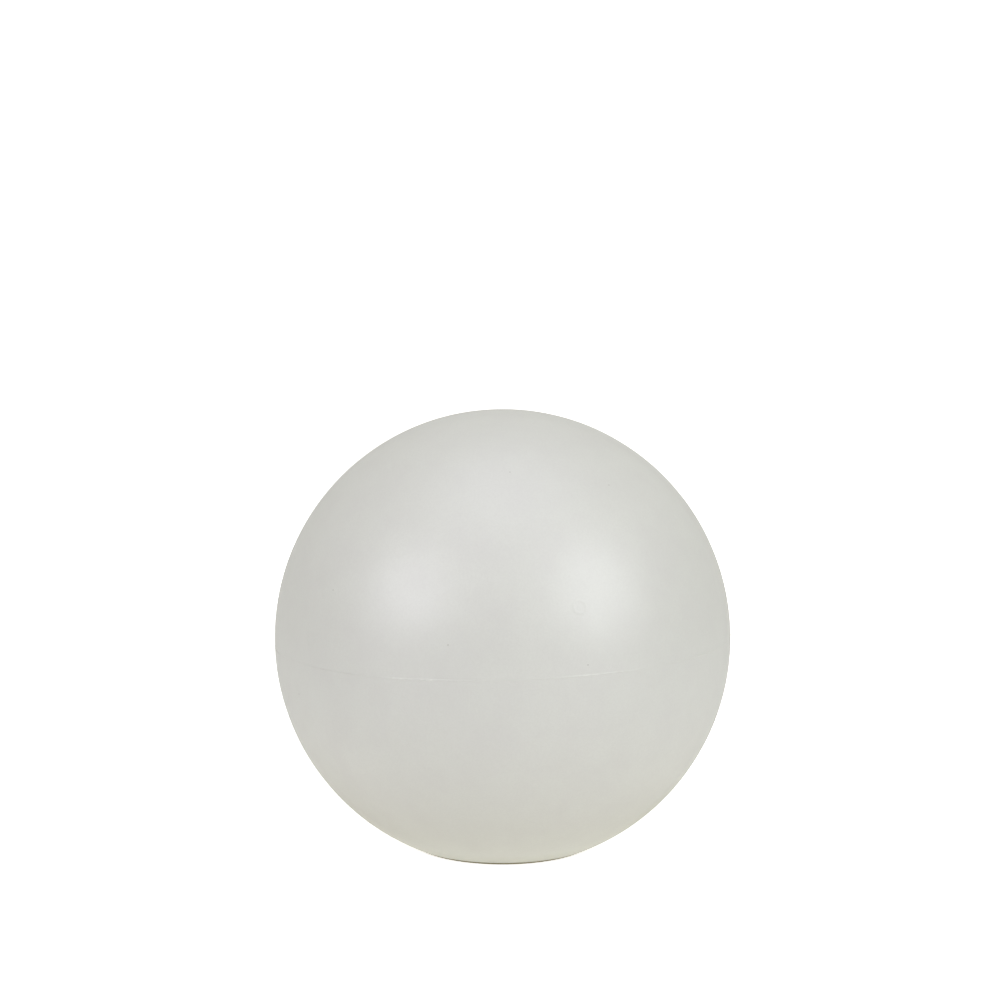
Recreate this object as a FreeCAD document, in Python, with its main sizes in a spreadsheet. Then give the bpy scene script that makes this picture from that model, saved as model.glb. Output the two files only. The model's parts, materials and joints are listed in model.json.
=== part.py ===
import FreeCAD, Part
import math
import os
import re

import Sketcher
from FreeCAD import Placement, Rotation, Vector

# Garden globe light, free standing and cordless. Millimetres, +Z up. The origin is the middle of
# the foot, on the surface that the light stands on. The front of the light faces -Y.
# A moulded globe, cut flat underneath, sits over a round base that carries the battery, the
# electronics and the light source. Three ramps in the globe's neck turn under three lugs of the base.

# ------------------------------------------------------------------ driving dimensions
SIZES = {
    # globe
    "globe_radius": 200,
    "globe_wall": 4,
    "rim_width": 2.8,  # flat underside of the globe, outside the rebate
    "rim_lift": 2.2,  # flat underside above the standing surface
    "rim_round": 1,
    "rebate_depth": 7,  # recess under the globe that the base flange fills
    "rebate_gap": 1.5,
    "floor_wall": 4,
    "neck_wall": 4,
    "neck_rise": 26,
    "seam_tilt": 1.4,  # degrees, parting line against level
    "seam_width": 0.9,
    "seam_stand": 0.3,
    # quick thread between globe and base
    "thread_lead": 48,
    "ramp_arc": 50,
    "ramp_thick": 4,
    "ramp_gap": 0.8,
    "ramp_start": 3.8,  # middle of the ramp's underside above the rebate's ceiling
    "lug_arc": 40,
    "lug_thick": 4,
    "lug_gap": 0.6,
    "thread_depth": 4.5,  # from the cup's wall to the neck's bore
    "thread_gap": 0.3,
    # foot
    "foot_proud": 0.5,  # foot ring past the edge of the flange
    "foot_width": 13,
    "foot_thick": 2.5,
    "foot_round": 0.6,
    "foot_rib_inset": 3.5,
    "foot_rib_width": 2,
    "foot_rib_height": 1.5,
    "rib_gap": 0.1,
    # base pan
    "flange_thick": 5,
    "flange_width": 20.5,  # flange past the neck's bore
    "cup_room": 7.25,  # from the battery tray's corners to the cup's wall
    "cup_wall": 3,
    "deck_thick": 3,
    # gasket under the globe
    "gasket_inset": 10,  # gasket's middle outside the neck's bore
    "gasket_width": 3.4,
    "gasket_sink": 1.5,
    "gasket_side_gap": 0.3,
    "gasket_nip": 0.05,
    # bottom cover
    "cover_thick": 2.2,
    "cover_lap": 5.5,  # cover past the cup's wall
    "cover_sink": 0.2,
    "cover_gap": 0.3,
    "cover_seal_lap": 2.5,
    "seal_width": 2,
    "seal_height": 1.4,
    "seal_gap": 0.1,
    "cover_boss_radius": 4.5,
    "cover_boss_inset": 4,
    # fasteners
    "screw_radius": 1.45,
    "screw_hole_gap": 0.1,
    "screw_head_radius": 2.7,
    "screw_head_height": 1.8,
    "socket_radius": 1.1,
    "socket_depth": 1.1,
    "cover_screw_length": 10,
    "insert_radius": 2.2,
    "insert_length": 6,
    # battery
    "cell_radius": 9.2,
    "cell_length": 65,
    "cell_space": 1.2,  # between neighbouring cells
    "cell_round": 0.8,
    "tray_wall": 1.5,
    "tray_floor": 1.5,
    "tray_height": 11,
    "tray_round": 3,
    "cell_gap": 0.3,
    "contact_thick": 0.4,
    "contact_size": 11,
    "end_room": 2,
    # driver board and its parts
    "board_thick": 1.6,
    "board_inset": 9,  # board's edge inside the cup's wall
    "board_room": 5.2,  # between the cells and the board
    "part_room": 1.2,  # between the tallest part and the deck
    "board_screw_inset": 5.5,
    "boss_radius": 3.4,
    "board_screw_length": 7,
    "inductor_size": 12,
    "inductor_height": 5.6,
    "inductor_chamfer": 2,
    "inductor_x": -20,
    "inductor_y": 8,
    "capacitor_radius": 4,
    "capacitor_height": 6.2,
    "capacitor_x": -20,
    "capacitor_y": -14,
    "chip_size": 7,
    "chip_height": 1.4,
    "chip_x": 20,
    "chip_pitch": 11,
    "socket_length": 8,
    "socket_width": 6,
    "socket_height": 5,
    "battery_socket_y": 28,
    # lead holes and leads
    "lead_radius": 0.8,
    "lead_bend": 2.5,
    "lead_pitch": 3.2,
    "lead_hole_inset": 6.2,
    "lead_hole_radius": 3.2,
    # control board with switch, port and status light
    "control_gap": 2.4,  # from the tray to the control board
    "control_wall_gap": 1.7,  # from its corners to the cup's wall
    "control_width": 15,
    "control_length": 44,
    "post_inset": 3,  # from the board's end
    "post_offset": 3.5,  # from the board's long middle line towards the tray
    "post_radius": 2.5,
    "small_screw_radius": 1,
    "small_screw_head": 2,
    "small_screw_length": 6,
    "small_hole_gap": 0.05,
    "header_offset": 3.5,
    "header_width": 4,
    "header_length": 11,
    # power button
    "button_offset": 0.5,  # button and port from the control board's long middle line
    "button_y": -8,
    "button_radius": 5,
    "button_gap": 0.08,
    "button_sink": 0.3,
    "button_travel": 1.2,
    "button_bevel": 0.5,
    "button_flange_radius": 6.2,
    "button_flange_thick": 0.9,
    "button_nose_radius": 2,
    "button_nose_height": 0.8,
    "guide_wall": 1.7,
    "guide_height": 2.6,
    "button_seal_thick": 0.25,
    "button_dish": 0.5,
    "switch_size": 6.2,
    "switch_clear": 0.65,  # from the pressed button up to the switch
    "switch_roof": 0.65,  # above the pressed plunger
    "plunger_radius": 1.6,
    "plunger_length": 3.4,
    "plunger_gap": 0.1,
    "spring_radius": 5.2,
    "spring_wire": 0.25,
    "spring_turns": 4.5,
    # charge port and its flap
    "port_y": 8,
    "port_length": 9,
    "port_width": 3.3,
    "port_wall": 0.35,
    "port_recess": 1.3,  # port's mouth above the cover
    "port_height": 8.8,
    "port_depth": 6.6,
    "port_tongue_length": 6.4,
    "port_tongue_width": 0.7,
    "port_tongue_recess": 0.8,
    "slot_gap": 0.4,
    "port_block_rise": 2.5,
    "port_block_length": 16,
    "port_block_width": 14.2,
    "flap_length": 12,
    "flap_thick": 1.6,
    "flap_sink": 0.2,
    "flap_gap": 0.3,
    "flap_reach": 9.4,  # from the hinge axis to the free edge
    "flap_hinge_offset": 5.6,  # from the port's middle to the hinge axis
    "flap_knuckle_radius": 0.9,
    "flap_pin_radius": 0.45,
    "flap_pin_length": 15,
    "flap_swing_gap": 0.6,
    "pin_gap": 0.05,
    "stopper_length": 8.6,
    "stopper_width": 2.8,
    "stopper_height": 1.1,
    # status light
    "status_offset": 5,
    "status_y": 0,
    "status_size": 3,
    "status_height": 1.4,
    "pipe_radius": 1.4,
    "pipe_flange_radius": 1.9,
    "pipe_flange_thick": 1,
    "pipe_gap": 0.1,
    # light source on the deck
    "grommet_radius": 5,
    "grommet_lip": 1.8,
    "grommet_lip_thick": 1.2,
    "spreader_inset": 6,  # inside the dome
    "spreader_thick": 3,
    "spreader_bore": 7.4,
    "led_board_inset": 2,
    "led_board_thick": 1.6,
    "led_board_bore": 4,
    "led_length": 3.5,
    "led_width": 2.8,
    "led_height": 0.8,
    "led_outer_inset": 10,
    "led_inner_circle": 15,
    "led_screw_inset": 6,
    "screw_bite": 5.5,  # screw's length below the deck's underside
    "led_lead_rise": 4,
    "led_pad_reach": 9,
    # diffuser dome
    "dome_wall": 2,
    "dome_edge": 3.5,  # dome's flange inside the deck's edge
    "dome_screw_edge": 3,
    "dome_screw_clear": 5,
    "dome_flange_thick": 2.5,
    "dome_seal_offset": 1,
    "dome_seal_width": 1.4,
    "dome_seal_height": 1,
}

# Sizes that follow from others: what fits round, into or under a piece grows and shrinks with it.
# From the battery outwards, each ring is the one inside it and a width of its own.
FOLLOWING = {
    # round the battery and up to the deck
    "cell_pitch": "2 * cell_radius + cell_space",
    "tray_half_width": "cell_pitch + cell_radius + cell_gap + tray_wall",
    "tray_half_length": "cell_length / 2 + end_room + tray_wall",
    "tray_corner": "sqrt(tray_half_width^2 + tray_half_length^2)",
    "cup_inner": "max(tray_corner + cup_room; control_corner + control_wall_gap)",
    "cup_radius": "cup_inner + cup_wall",
    "cover_bottom": "foot_thick + cover_sink",
    "cover_top": "cover_bottom + cover_thick",
    "tray_top": "cover_top + tray_floor",
    "cell_axis": "tray_top + cell_radius",
    "board_bottom": "cell_axis + cell_radius + board_room",
    "board_top": "board_bottom + board_thick",
    "board_drop": "capacitor_height + part_room",
    "deck_bottom": "board_top + board_drop",
    "deck_height": "deck_bottom + deck_thick",
    # globe, flange and foot outside the cup
    "neck_bore": "cup_radius + thread_depth",
    "flange_radius": "neck_bore + flange_width",
    "flange_top": "foot_thick + flange_thick",
    "rim_bore": "flange_radius + rebate_gap",
    "flat_radius": "rim_bore + rim_width",
    "globe_centre": "rim_lift + sqrt(globe_radius^2 - flat_radius^2)",
    "rebate_top": "rim_lift + rebate_depth",
    "globe_floor": "rebate_top + floor_wall",
    "neck_top": "rebate_top + neck_rise",
    "ramp_bottom": "rebate_top + ramp_start",
    "lug_bottom": "ramp_bottom + ramp_thick + thread_gap",
    "gasket_circle": "neck_bore + gasket_inset",
    "foot_radius": "flange_radius + foot_proud",
    "foot_rib_circle": "flange_radius - foot_rib_inset",
    # bottom cover
    "cover_radius": "cup_radius + cover_lap",
    "cover_seal_circle": "cup_radius + cover_seal_lap",
    "cover_screw_circle": "cup_inner - cover_boss_inset",
    # driver board
    "board_radius": "cup_inner - board_inset",
    "board_screw_circle": "board_radius - board_screw_inset",
    "lead_hole_y": "board_radius - lead_hole_inset",
    # control board, between the tray and the cup's wall
    "control_x": "tray_half_width + control_gap + control_width / 2",
    "control_corner": "sqrt((control_x + control_width / 2)^2 + (control_length / 2)^2)",
    "control_top": "control_height + board_thick",
    "post_x": "control_x - post_offset",
    "post_y": "control_length / 2 - post_inset",
    "header_x": "control_x + header_offset",
    "button_x": "control_x + button_offset",
    "port_x": "control_x + button_offset",
    "status_x": "control_x - status_offset",
    "port_mouth": "cover_top + port_recess",
    # button, upwards from its face
    "button_bottom": "cover_bottom + button_sink",
    "guide_top": "cover_top + guide_height",
    "button_flange": "guide_top + button_seal_thick + plunger_gap",
    "button_top": "button_flange + button_flange_thick",
    "nose_top": "button_top + button_nose_height",
    "plunger_top": "nose_top + plunger_gap + plunger_length",
    "well_top": "plunger_top + button_travel + plunger_gap",
    "control_height": "max(port_mouth + port_height; well_top + switch_roof)",
    "switch_bottom": "nose_top + button_travel + switch_clear",
    "switch_height": "control_height - switch_bottom",
    # flap
    "flap_bottom": "cover_bottom + flap_sink",
    "flap_top": "flap_bottom + flap_thick",
    "flap_axis_z": "flap_bottom + flap_knuckle_radius",
    "flap_axis_y": "port_y + flap_hinge_offset",
    # light source and dome
    "dome_flange_radius": "cup_radius - dome_edge",
    "dome_screw_circle": "dome_flange_radius - dome_screw_edge",
    "dome_radius": "dome_screw_circle - dome_screw_clear",
    "dome_seal_circle": "dome_radius + dome_seal_offset",
    "dome_flange_top": "deck_height + dome_flange_thick",
    "dome_screw_length": "dome_flange_thick + deck_thick + screw_bite",
    "spreader_radius": "dome_radius - dome_wall - spreader_inset",
    "spreader_top": "deck_height + spreader_thick",
    "led_board_radius": "spreader_radius - led_board_inset",
    "led_board_top": "spreader_top + led_board_thick",
    "led_outer_circle": "led_board_radius - led_outer_inset",
    "led_screw_circle": "spreader_radius - led_screw_inset",
    "led_screw_length": "spreader_thick + led_board_thick + deck_thick + screw_bite",
}

THREAD_STARTS = 3
COVER_SCREWS = 4
BOARD_SCREWS = 4
DOME_SCREWS = 4
LED_SCREWS = 3
OUTER_LEDS = 12
INNER_LEDS = 6
CELLS = 3
CHIPS = 3

doc = FreeCAD.newDocument("garden_globe_light")
sheet = doc.addObject("Spreadsheet::Sheet", "Sizes")
for row, (alias, number) in enumerate(SIZES.items(), start=1):
    sheet.set(f"A{row}", alias)
    sheet.set(f"B{row}", str(number))
    sheet.setAlias(f"B{row}", alias)
doc.recompute()

NODES = []


# ------------------------------------------------------------------ helpers
def sized(text):
    """Turn a sum of names, such as "neck_bore + neck_wall", into an expression on the sheet."""
    def spell(match):
        name = match.group(0)
        return f"({sized(FOLLOWING[name])})" if name in FOLLOWING else f"Sizes.{name}"

    return re.sub(r"\b[a-z]+_[a-z_]+\b", spell, text)


def value(text):
    return float(sheet.evalExpression(sized(text)))


def new_body(label):
    """Start a sub-part. Its label names its file."""
    body = doc.addObject("PartDesign::Body", label)
    body.Label = label
    body.AllowCompound = True
    NODES.append(body)
    return body


def datum(body, role):
    return next(feature for feature in body.Origin.OriginFeatures if feature.Role == role)


def new_sketch(body, name, plane, along=None, lift=None, height=None, turn=None):
    """Attach a sketch to an origin plane of its body.

    along and height move it in its own x and y, lift moves it along its normal, and turn swings
    it about its own y by so many degrees.
    """
    sketch = body.newObject("Sketcher::SketchObject", f"{body.Name}_{name}_sketch")
    sketch.AttachmentSupport = [(datum(body, plane), "")]
    sketch.MapMode = "FlatFace"
    if turn:
        sketch.AttachmentOffset = Placement(Vector(), Rotation(Vector(0, 1, 0), value(turn)))
        sketch.setExpression("AttachmentOffset.Rotation.Angle", sized(turn))
    for axis, text in (("x", along), ("y", height), ("z", lift)):
        if text:
            sketch.setExpression(f"AttachmentOffset.Base.{axis}", sized(text))
    return sketch


def fix_point(sketch, side, end, corner):
    """Hold one end of a side at an (x, y) pair of size expressions."""
    for axis, text, base_line in (("DistanceX", corner[0], -2), ("DistanceY", corner[1], -1)):
        if text == "0":
            sketch.addConstraint(Sketcher.Constraint("PointOnObject", side, end, base_line))
            continue
        rule = sketch.addConstraint(Sketcher.Constraint(axis, -1, 1, side, end, value(text)))
        sketch.setExpression(f"Constraints[{rule}]", sized(text))


def arc_between(start, end, radius, left_turn):
    """The short arc from start to end; left_turn says that it runs counterclockwise."""
    chord = end - start
    reach = math.sqrt(radius**2 - (chord.Length / 2) ** 2)
    side = Vector(-chord.y, chord.x, 0).normalize() * (reach if left_turn else -reach)
    centre = (start + end) / 2 + side
    first, last = (start, end) if left_turn else (end, start)
    begin = math.atan2(first.y - centre.y, first.x - centre.x)
    finish = math.atan2(last.y - centre.y, last.x - centre.x)
    if finish < begin:
        finish += 2 * math.pi
    return Part.ArcOfCircle(Part.Circle(centre, Vector(0, 0, 1), radius), begin, finish)


def outline(sketch, corners, arcs=None):
    """Close a loop through the corners. arcs maps a side's number to (radius, left_turn)."""
    arcs = arcs or {}
    points = [Vector(value(x), value(y), 0) for x, y in corners]
    first = sketch.GeometryCount
    ends = []
    for number, start in enumerate(points):
        end = points[(number + 1) % len(points)]
        if number in arcs:
            radius, left_turn = arcs[number]
            sketch.addGeometry(arc_between(start, end, value(radius), left_turn))
            ends.append((1, 2) if left_turn else (2, 1))
        else:
            sketch.addGeometry(Part.LineSegment(start, end))
            ends.append((1, 2))
    for number, corner in enumerate(corners):
        after = (number + 1) % len(corners)
        fix_point(sketch, first + number, ends[number][0], corner)
        sketch.addConstraint(Sketcher.Constraint(
            "Coincident", first + number, ends[number][1], first + after, ends[after][0]))
    for number, (radius, _) in arcs.items():
        rule = sketch.addConstraint(Sketcher.Constraint("Radius", first + number, value(radius)))
        sketch.setExpression(f"Constraints[{rule}]", sized(radius))


def box_outline(sketch, centre, length, width):
    x, y = centre
    left, right = f"{x} - ({length}) / 2", f"{x} + ({length}) / 2"
    low, high = f"{y} - ({width}) / 2", f"{y} + ({width}) / 2"
    outline(sketch, [(left, low), (right, low), (right, high), (left, high)])


def ring_outline(sketch, inner, outer, low, high):
    outline(sketch, [(inner, low), (outer, low), (outer, high), (inner, high)])


def circle_outline(sketch, centre, radius):
    side = sketch.addGeometry(Part.Circle(
        Vector(value(centre[0]), value(centre[1]), 0), Vector(0, 0, 1), value(radius)))
    fix_point(sketch, side, 3, centre)
    rule = sketch.addConstraint(Sketcher.Constraint("Radius", side, value(radius)))
    sketch.setExpression(f"Constraints[{rule}]", sized(radius))


def stadium_outline(sketch, centre, length, width):
    """A slot with round ends, its length along x."""
    x, y = centre
    left, right = f"{x} - ({length} - ({width})) / 2", f"{x} + ({length} - ({width})) / 2"
    low, high = f"{y} - ({width}) / 2", f"{y} + ({width}) / 2"
    middle_left, middle_right = f"{x} - ({length}) / 2", f"{x} + ({length}) / 2"
    half = f"({width}) / 2"
    outline(
        sketch,
        [(left, low), (right, low), (middle_right, y), (right, high), (left, high), (middle_left, y)],
        {1: (half, True), 2: (half, True), 4: (half, True), 5: (half, True)},
    )


def feature(body, kind, name, sketch):
    made = body.newObject(f"PartDesign::{kind}", f"{body.Name}_{name}")
    made.Profile = (sketch, [""])
    sketch.Visibility = False
    return made


def revolve(body, name, sketch):
    made = feature(body, "Revolution", name, sketch)
    made.ReferenceAxis = (sketch, ["V_Axis"])
    made.Angle = 360
    return made


def cut_ring(body, name, inner, outer, low, high):
    """Turn away a ring whose section is a rectangle."""
    sketch = new_sketch(body, name, "XZ_Plane")
    ring_outline(sketch, inner, outer, low, high)
    made = feature(body, "Groove", name, sketch)
    made.ReferenceAxis = (sketch, ["V_Axis"])
    made.Angle = 360
    return made


def pad(body, name, sketch, length):
    made = feature(body, "Pad", name, sketch)
    made.Length = value(length)
    made.setExpression("Length", sized(length))
    return made


def pocket_up(body, name, sketch, length):
    """Cut from the sketch upwards by so much."""
    made = feature(body, "Pocket", name, sketch)
    made.Length = value(length)
    made.setExpression("Length", sized(length))
    made.Reversed = True
    return made


def around(body, name, original, count):
    """Repeat a feature round the body's Z axis."""
    made = body.newObject("PartDesign::PolarPattern", f"{body.Name}_{name}")
    made.Originals = [original]
    made.Axis = (datum(body, "Z_Axis"), [""])
    made.Angle = 360
    made.Occurrences = count
    body.Tip = made
    return made


def in_line(body, name, original, axis, step, count):
    """Repeat a feature along an axis of the body, step by step."""
    made = body.newObject("PartDesign::LinearPattern", f"{body.Name}_{name}")
    made.Originals = [original]
    made.Direction = (datum(body, axis), [""])
    made.Occurrences = count
    made.Length = value(f"({step}) * {count - 1}")
    made.setExpression("Length", sized(f"({step}) * {count - 1}"))
    body.Tip = made
    return made


def mirrored(body, name, original, plane):
    made = body.newObject("PartDesign::Mirrored", f"{body.Name}_{name}")
    made.Originals = [original]
    made.MirrorPlane = (datum(body, plane), [""])
    body.Tip = made
    return made


def helix_ramp(body, name, inner, outer, middle_bottom, thick, arc):
    """One ramp of the quick thread: a rectangle swept up a right-hand helix, centred on +X."""
    sketch = new_sketch(body, name, "XZ_Plane", turn=f"-1 * {arc} / 2")
    low = f"({middle_bottom} - thread_lead * {arc} / 720)"
    ring_outline(sketch, inner, outer, low, f"({low} + {thick})")
    made = feature(body, "AdditiveHelix", name, sketch)
    made.ReferenceAxis = (sketch, ["V_Axis"])
    made.Mode = "pitch-turns-angle"
    made.setExpression("Pitch", "Sizes.thread_lead")
    made.setExpression("Turns", sized(f"{arc} / 360"))
    doc.recompute()
    return made


def turned(label, corners, arcs=None):
    """A sub-part turned about the Z axis from one outline."""
    body = new_body(label)
    sketch = new_sketch(body, "profile", "XZ_Plane")
    outline(sketch, corners, arcs)
    revolve(body, "turned", sketch)
    return body


def spin(body, degrees):
    """Turn a whole sub-part about the Z axis."""
    body.Placement = Placement(Vector(), Rotation(Vector(0, 0, 1), degrees))


def move(body, x="0", y="0", z="0"):
    for axis, text in (("x", x), ("y", y), ("z", z)):
        if text != "0":
            body.setExpression(f"Placement.Base.{axis}", sized(text))


def block(label, centre, length, width, low, height):
    """A plain rectangular sub-part standing on the level low."""
    body = new_body(label)
    sketch = new_sketch(body, "base", "XY_Plane", lift=low)
    box_outline(sketch, centre, length, width)
    pad(body, "block", sketch, height)
    return body


def screw(body, circle, under_head, length, shank, head, head_height, point_up=False):
    """A cylinder-head screw at radius circle. The point goes down unless point_up is set."""
    sign = "-1 *" if point_up else "1 *"
    sketch = new_sketch(body, "profile", "XZ_Plane", along=circle)
    head_end = f"{under_head} + {sign} ({head_height})"
    floor = f"{under_head} + {sign} ({head_height} - socket_depth)"
    outline(sketch, [
        ("0", f"{under_head} - {sign} ({length})"),
        (shank, f"{under_head} - {sign} ({length})"),
        (shank, under_head),
        (head, under_head),
        (head, head_end),
        ("socket_radius", head_end),
        ("socket_radius", floor),
        ("0", floor),
    ])
    return revolve(body, "screw", sketch)


# ------------------------------------------------------------------ globe
def build_globe():
    body = new_body("globe_shell")
    centre, radius, wall = "globe_centre", "globe_radius", "globe_wall"
    inner_radius = f"({radius} - {wall})"
    floor_drop = f"({centre} - globe_floor)"
    floor_reach = f"sqrt({inner_radius}^2 - {floor_drop}^2)"
    sketch = new_sketch(body, "profile", "XZ_Plane")
    outline(
        sketch,
        [
            ("rim_bore", "rim_lift"),
            ("flat_radius", "rim_lift"),
            (radius, centre),
            ("0", f"{centre} + {radius}"),
            ("0", f"{centre} + {inner_radius}"),
            (inner_radius, centre),
            (floor_reach, "globe_floor"),
            ("neck_bore + neck_wall", "globe_floor"),
            ("neck_bore + neck_wall", "neck_top"),
            ("neck_bore", "neck_top"),
            ("neck_bore", "rebate_top"),
            ("rim_bore", "rebate_top"),
        ],
        {1: (radius, True), 2: (radius, True), 4: (inner_radius, False), 5: (inner_radius, False)},
    )
    shell = revolve(body, "shell", sketch)
    doc.recompute()
    low_edges = [
        f"Edge{number}"
        for number, edge in enumerate(shell.Shape.Edges, start=1)
        if edge.BoundBox.ZMax < value("rim_lift") + 0.01 and edge.BoundBox.XMax > value("rim_bore") + 1
        and edge.BoundBox.DiagonalLength > value("rim_bore")
    ]
    rounding = body.newObject("PartDesign::Fillet", "globe_shell_rim_round")
    rounding.Base = (shell, low_edges)
    rounding.Radius = value("rim_round")
    rounding.setExpression("Radius", "Sizes.rim_round")
    doc.recompute()
    # the parting line of the mould: a fine bead round the widest part, a little out of level
    seam = new_sketch(body, "seam", "XZ_Plane", height=centre)
    seam.AttachmentOffset = Placement(Vector(), Rotation(Vector(0, 0, 1), value("seam_tilt")))
    seam.setExpression("AttachmentOffset.Base.y", sized(centre))
    seam.setExpression("AttachmentOffset.Rotation.Angle", "Sizes.seam_tilt")
    outline(seam, [
        ("globe_radius - seam_width", "-1 * seam_width / 2"),
        ("globe_radius", "-1 * seam_width / 2"),
        ("globe_radius + seam_stand", "0"),
        ("globe_radius", "seam_width / 2"),
        ("globe_radius - seam_width", "seam_width / 2"),
    ])
    revolve(body, "seam", seam)
    doc.recompute()
    ramp = helix_ramp(
        body, "ramp", "cup_radius + ramp_gap", "neck_bore + neck_wall / 4",
        "ramp_bottom", "ramp_thick", "ramp_arc")
    around(body, "ramps", ramp, THREAD_STARTS)


def build_globe_gasket():
    inner = "gasket_circle - gasket_width / 2"
    outer = "gasket_circle + gasket_width / 2"
    low = "flange_top - gasket_sink + gasket_nip"
    high = "rebate_top - gasket_nip"
    turned("globe_gasket", [(inner, low), (outer, low), (outer, high), (inner, high)])


# ------------------------------------------------------------------ base
def boss_ring(body, name, circle, radius, low, high, count):
    sketch = new_sketch(body, name, "XY_Plane", lift=low)
    circle_outline(sketch, (circle, "0"), radius)
    made = pad(body, name, sketch, f"{high} - ({low})")
    doc.recompute()
    around(body, f"{name}s", made, count)
    doc.recompute()


def hole_ring(body, name, circle, radius, low, depth, count):
    sketch = new_sketch(body, name, "XY_Plane", lift=low)
    circle_outline(sketch, (circle, "0"), radius)
    made = pocket_up(body, name, sketch, depth)
    doc.recompute()
    around(body, f"{name}s", made, count)
    doc.recompute()


def diagonal(body, name, circle, radius, low, depth, cut):
    """Four round bosses or holes on the diagonals, made as one sketch."""
    sketch = new_sketch(body, name, "XY_Plane", lift=low)
    offset = f"{circle} * sqrt(0.5)"
    for x_sign in ("1", "-1"):
        for y_sign in ("1", "-1"):
            circle_outline(sketch, (f"{x_sign} * {offset}", f"{y_sign} * {offset}"), radius)
    made = pocket_up(body, name, sketch, depth) if cut else pad(body, name, sketch, depth)
    doc.recompute()
    return made


def build_base_pan():
    body = new_body("base_pan")
    recess = "cover_radius + cover_gap"
    sketch = new_sketch(body, "profile", "XZ_Plane")
    outline(sketch, [
        (recess, "foot_thick"),
        ("flange_radius", "foot_thick"),
        ("flange_radius", "flange_top"),
        ("cup_radius", "flange_top"),
        ("cup_radius", "deck_height"),
        ("grommet_radius", "deck_height"),
        ("grommet_radius", "deck_bottom"),
        ("cup_inner", "deck_bottom"),
        ("cup_inner", "cover_top"),
        (recess, "cover_top"),
    ])
    revolve(body, "pan", sketch)
    doc.recompute()
    rib = "(foot_rib_width / 2 + rib_gap)"
    cut_ring(body, "foot_groove", f"foot_rib_circle - {rib}", f"foot_rib_circle + {rib}",
             "foot_thick", "foot_thick + foot_rib_height + rib_gap")
    side = "(gasket_width / 2 + gasket_side_gap)"
    cut_ring(body, "gasket_groove", f"gasket_circle - {side}", f"gasket_circle + {side}",
             "flange_top - gasket_sink", "flange_top")
    side = "(seal_width / 2 + seal_gap)"
    cut_ring(body, "cover_seal_groove", f"cover_seal_circle - {side}", f"cover_seal_circle + {side}",
             "cover_top", "cover_top + seal_height")
    side = "(dome_seal_width / 2 + seal_gap)"
    cut_ring(body, "dome_seal_groove", f"dome_seal_circle - {side}", f"dome_seal_circle + {side}",
             "deck_height - dome_seal_height", "deck_height")
    doc.recompute()
    diagonal(body, "cover_boss", "cover_screw_circle", "cover_boss_radius",
             "cover_top", "deck_bottom - cover_top", cut=False)
    diagonal(body, "board_boss", "board_screw_circle", "boss_radius",
             "board_top", "board_drop", cut=False)
    boss_ring(body, "dome_boss", "dome_screw_circle", "boss_radius",
              "dome_flange_top - dome_screw_length - cup_wall / 2", "deck_bottom", DOME_SCREWS)
    boss_ring(body, "led_boss", "led_screw_circle", "boss_radius",
              "board_top + cell_gap", "deck_bottom", LED_SCREWS)
    diagonal(body, "insert_hole", "cover_screw_circle", "insert_radius",
             "cover_top", "insert_length", cut=True)
    diagonal(body, "screw_hole", "cover_screw_circle", "screw_radius + screw_hole_gap",
             "cover_top", "cover_screw_length + screw_hole_gap", cut=True)
    diagonal(body, "board_hole", "board_screw_circle", "screw_radius + screw_hole_gap",
             "board_top", "board_screw_length - board_thick + screw_hole_gap", cut=True)
    hole_ring(body, "dome_hole", "dome_screw_circle", "screw_radius + screw_hole_gap",
              "dome_flange_top - dome_screw_length - screw_hole_gap", "dome_screw_length", DOME_SCREWS)
    hole_ring(body, "led_hole", "led_screw_circle", "screw_radius + screw_hole_gap",
              "led_board_top - led_screw_length - screw_hole_gap", "led_screw_length", LED_SCREWS)
    lug = helix_ramp(
        body, "lug", "cup_radius - cup_wall / 4", "neck_bore - lug_gap",
        "lug_bottom", "lug_thick", "lug_arc")
    around(body, "lugs", lug, THREAD_STARTS)


def build_foot_ring():
    inner = "foot_radius - foot_width"
    rib_in = "foot_rib_circle - foot_rib_width / 2"
    rib_out = "foot_rib_circle + foot_rib_width / 2"
    rib_top = "foot_thick + foot_rib_height"
    body = turned("foot_ring", [
        (f"{inner} + foot_round", "0"),
        ("foot_radius - foot_round", "0"),
        ("foot_radius", "foot_round"),
        ("foot_radius", "foot_thick"),
        (rib_out, "foot_thick"),
        (rib_out, rib_top),
        (rib_in, rib_top),
        (rib_in, "foot_thick"),
        (inner, "foot_thick"),
        (inner, "foot_round"),
    ], {1: ("foot_round", True), 9: ("foot_round", True)})
    return body


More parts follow.
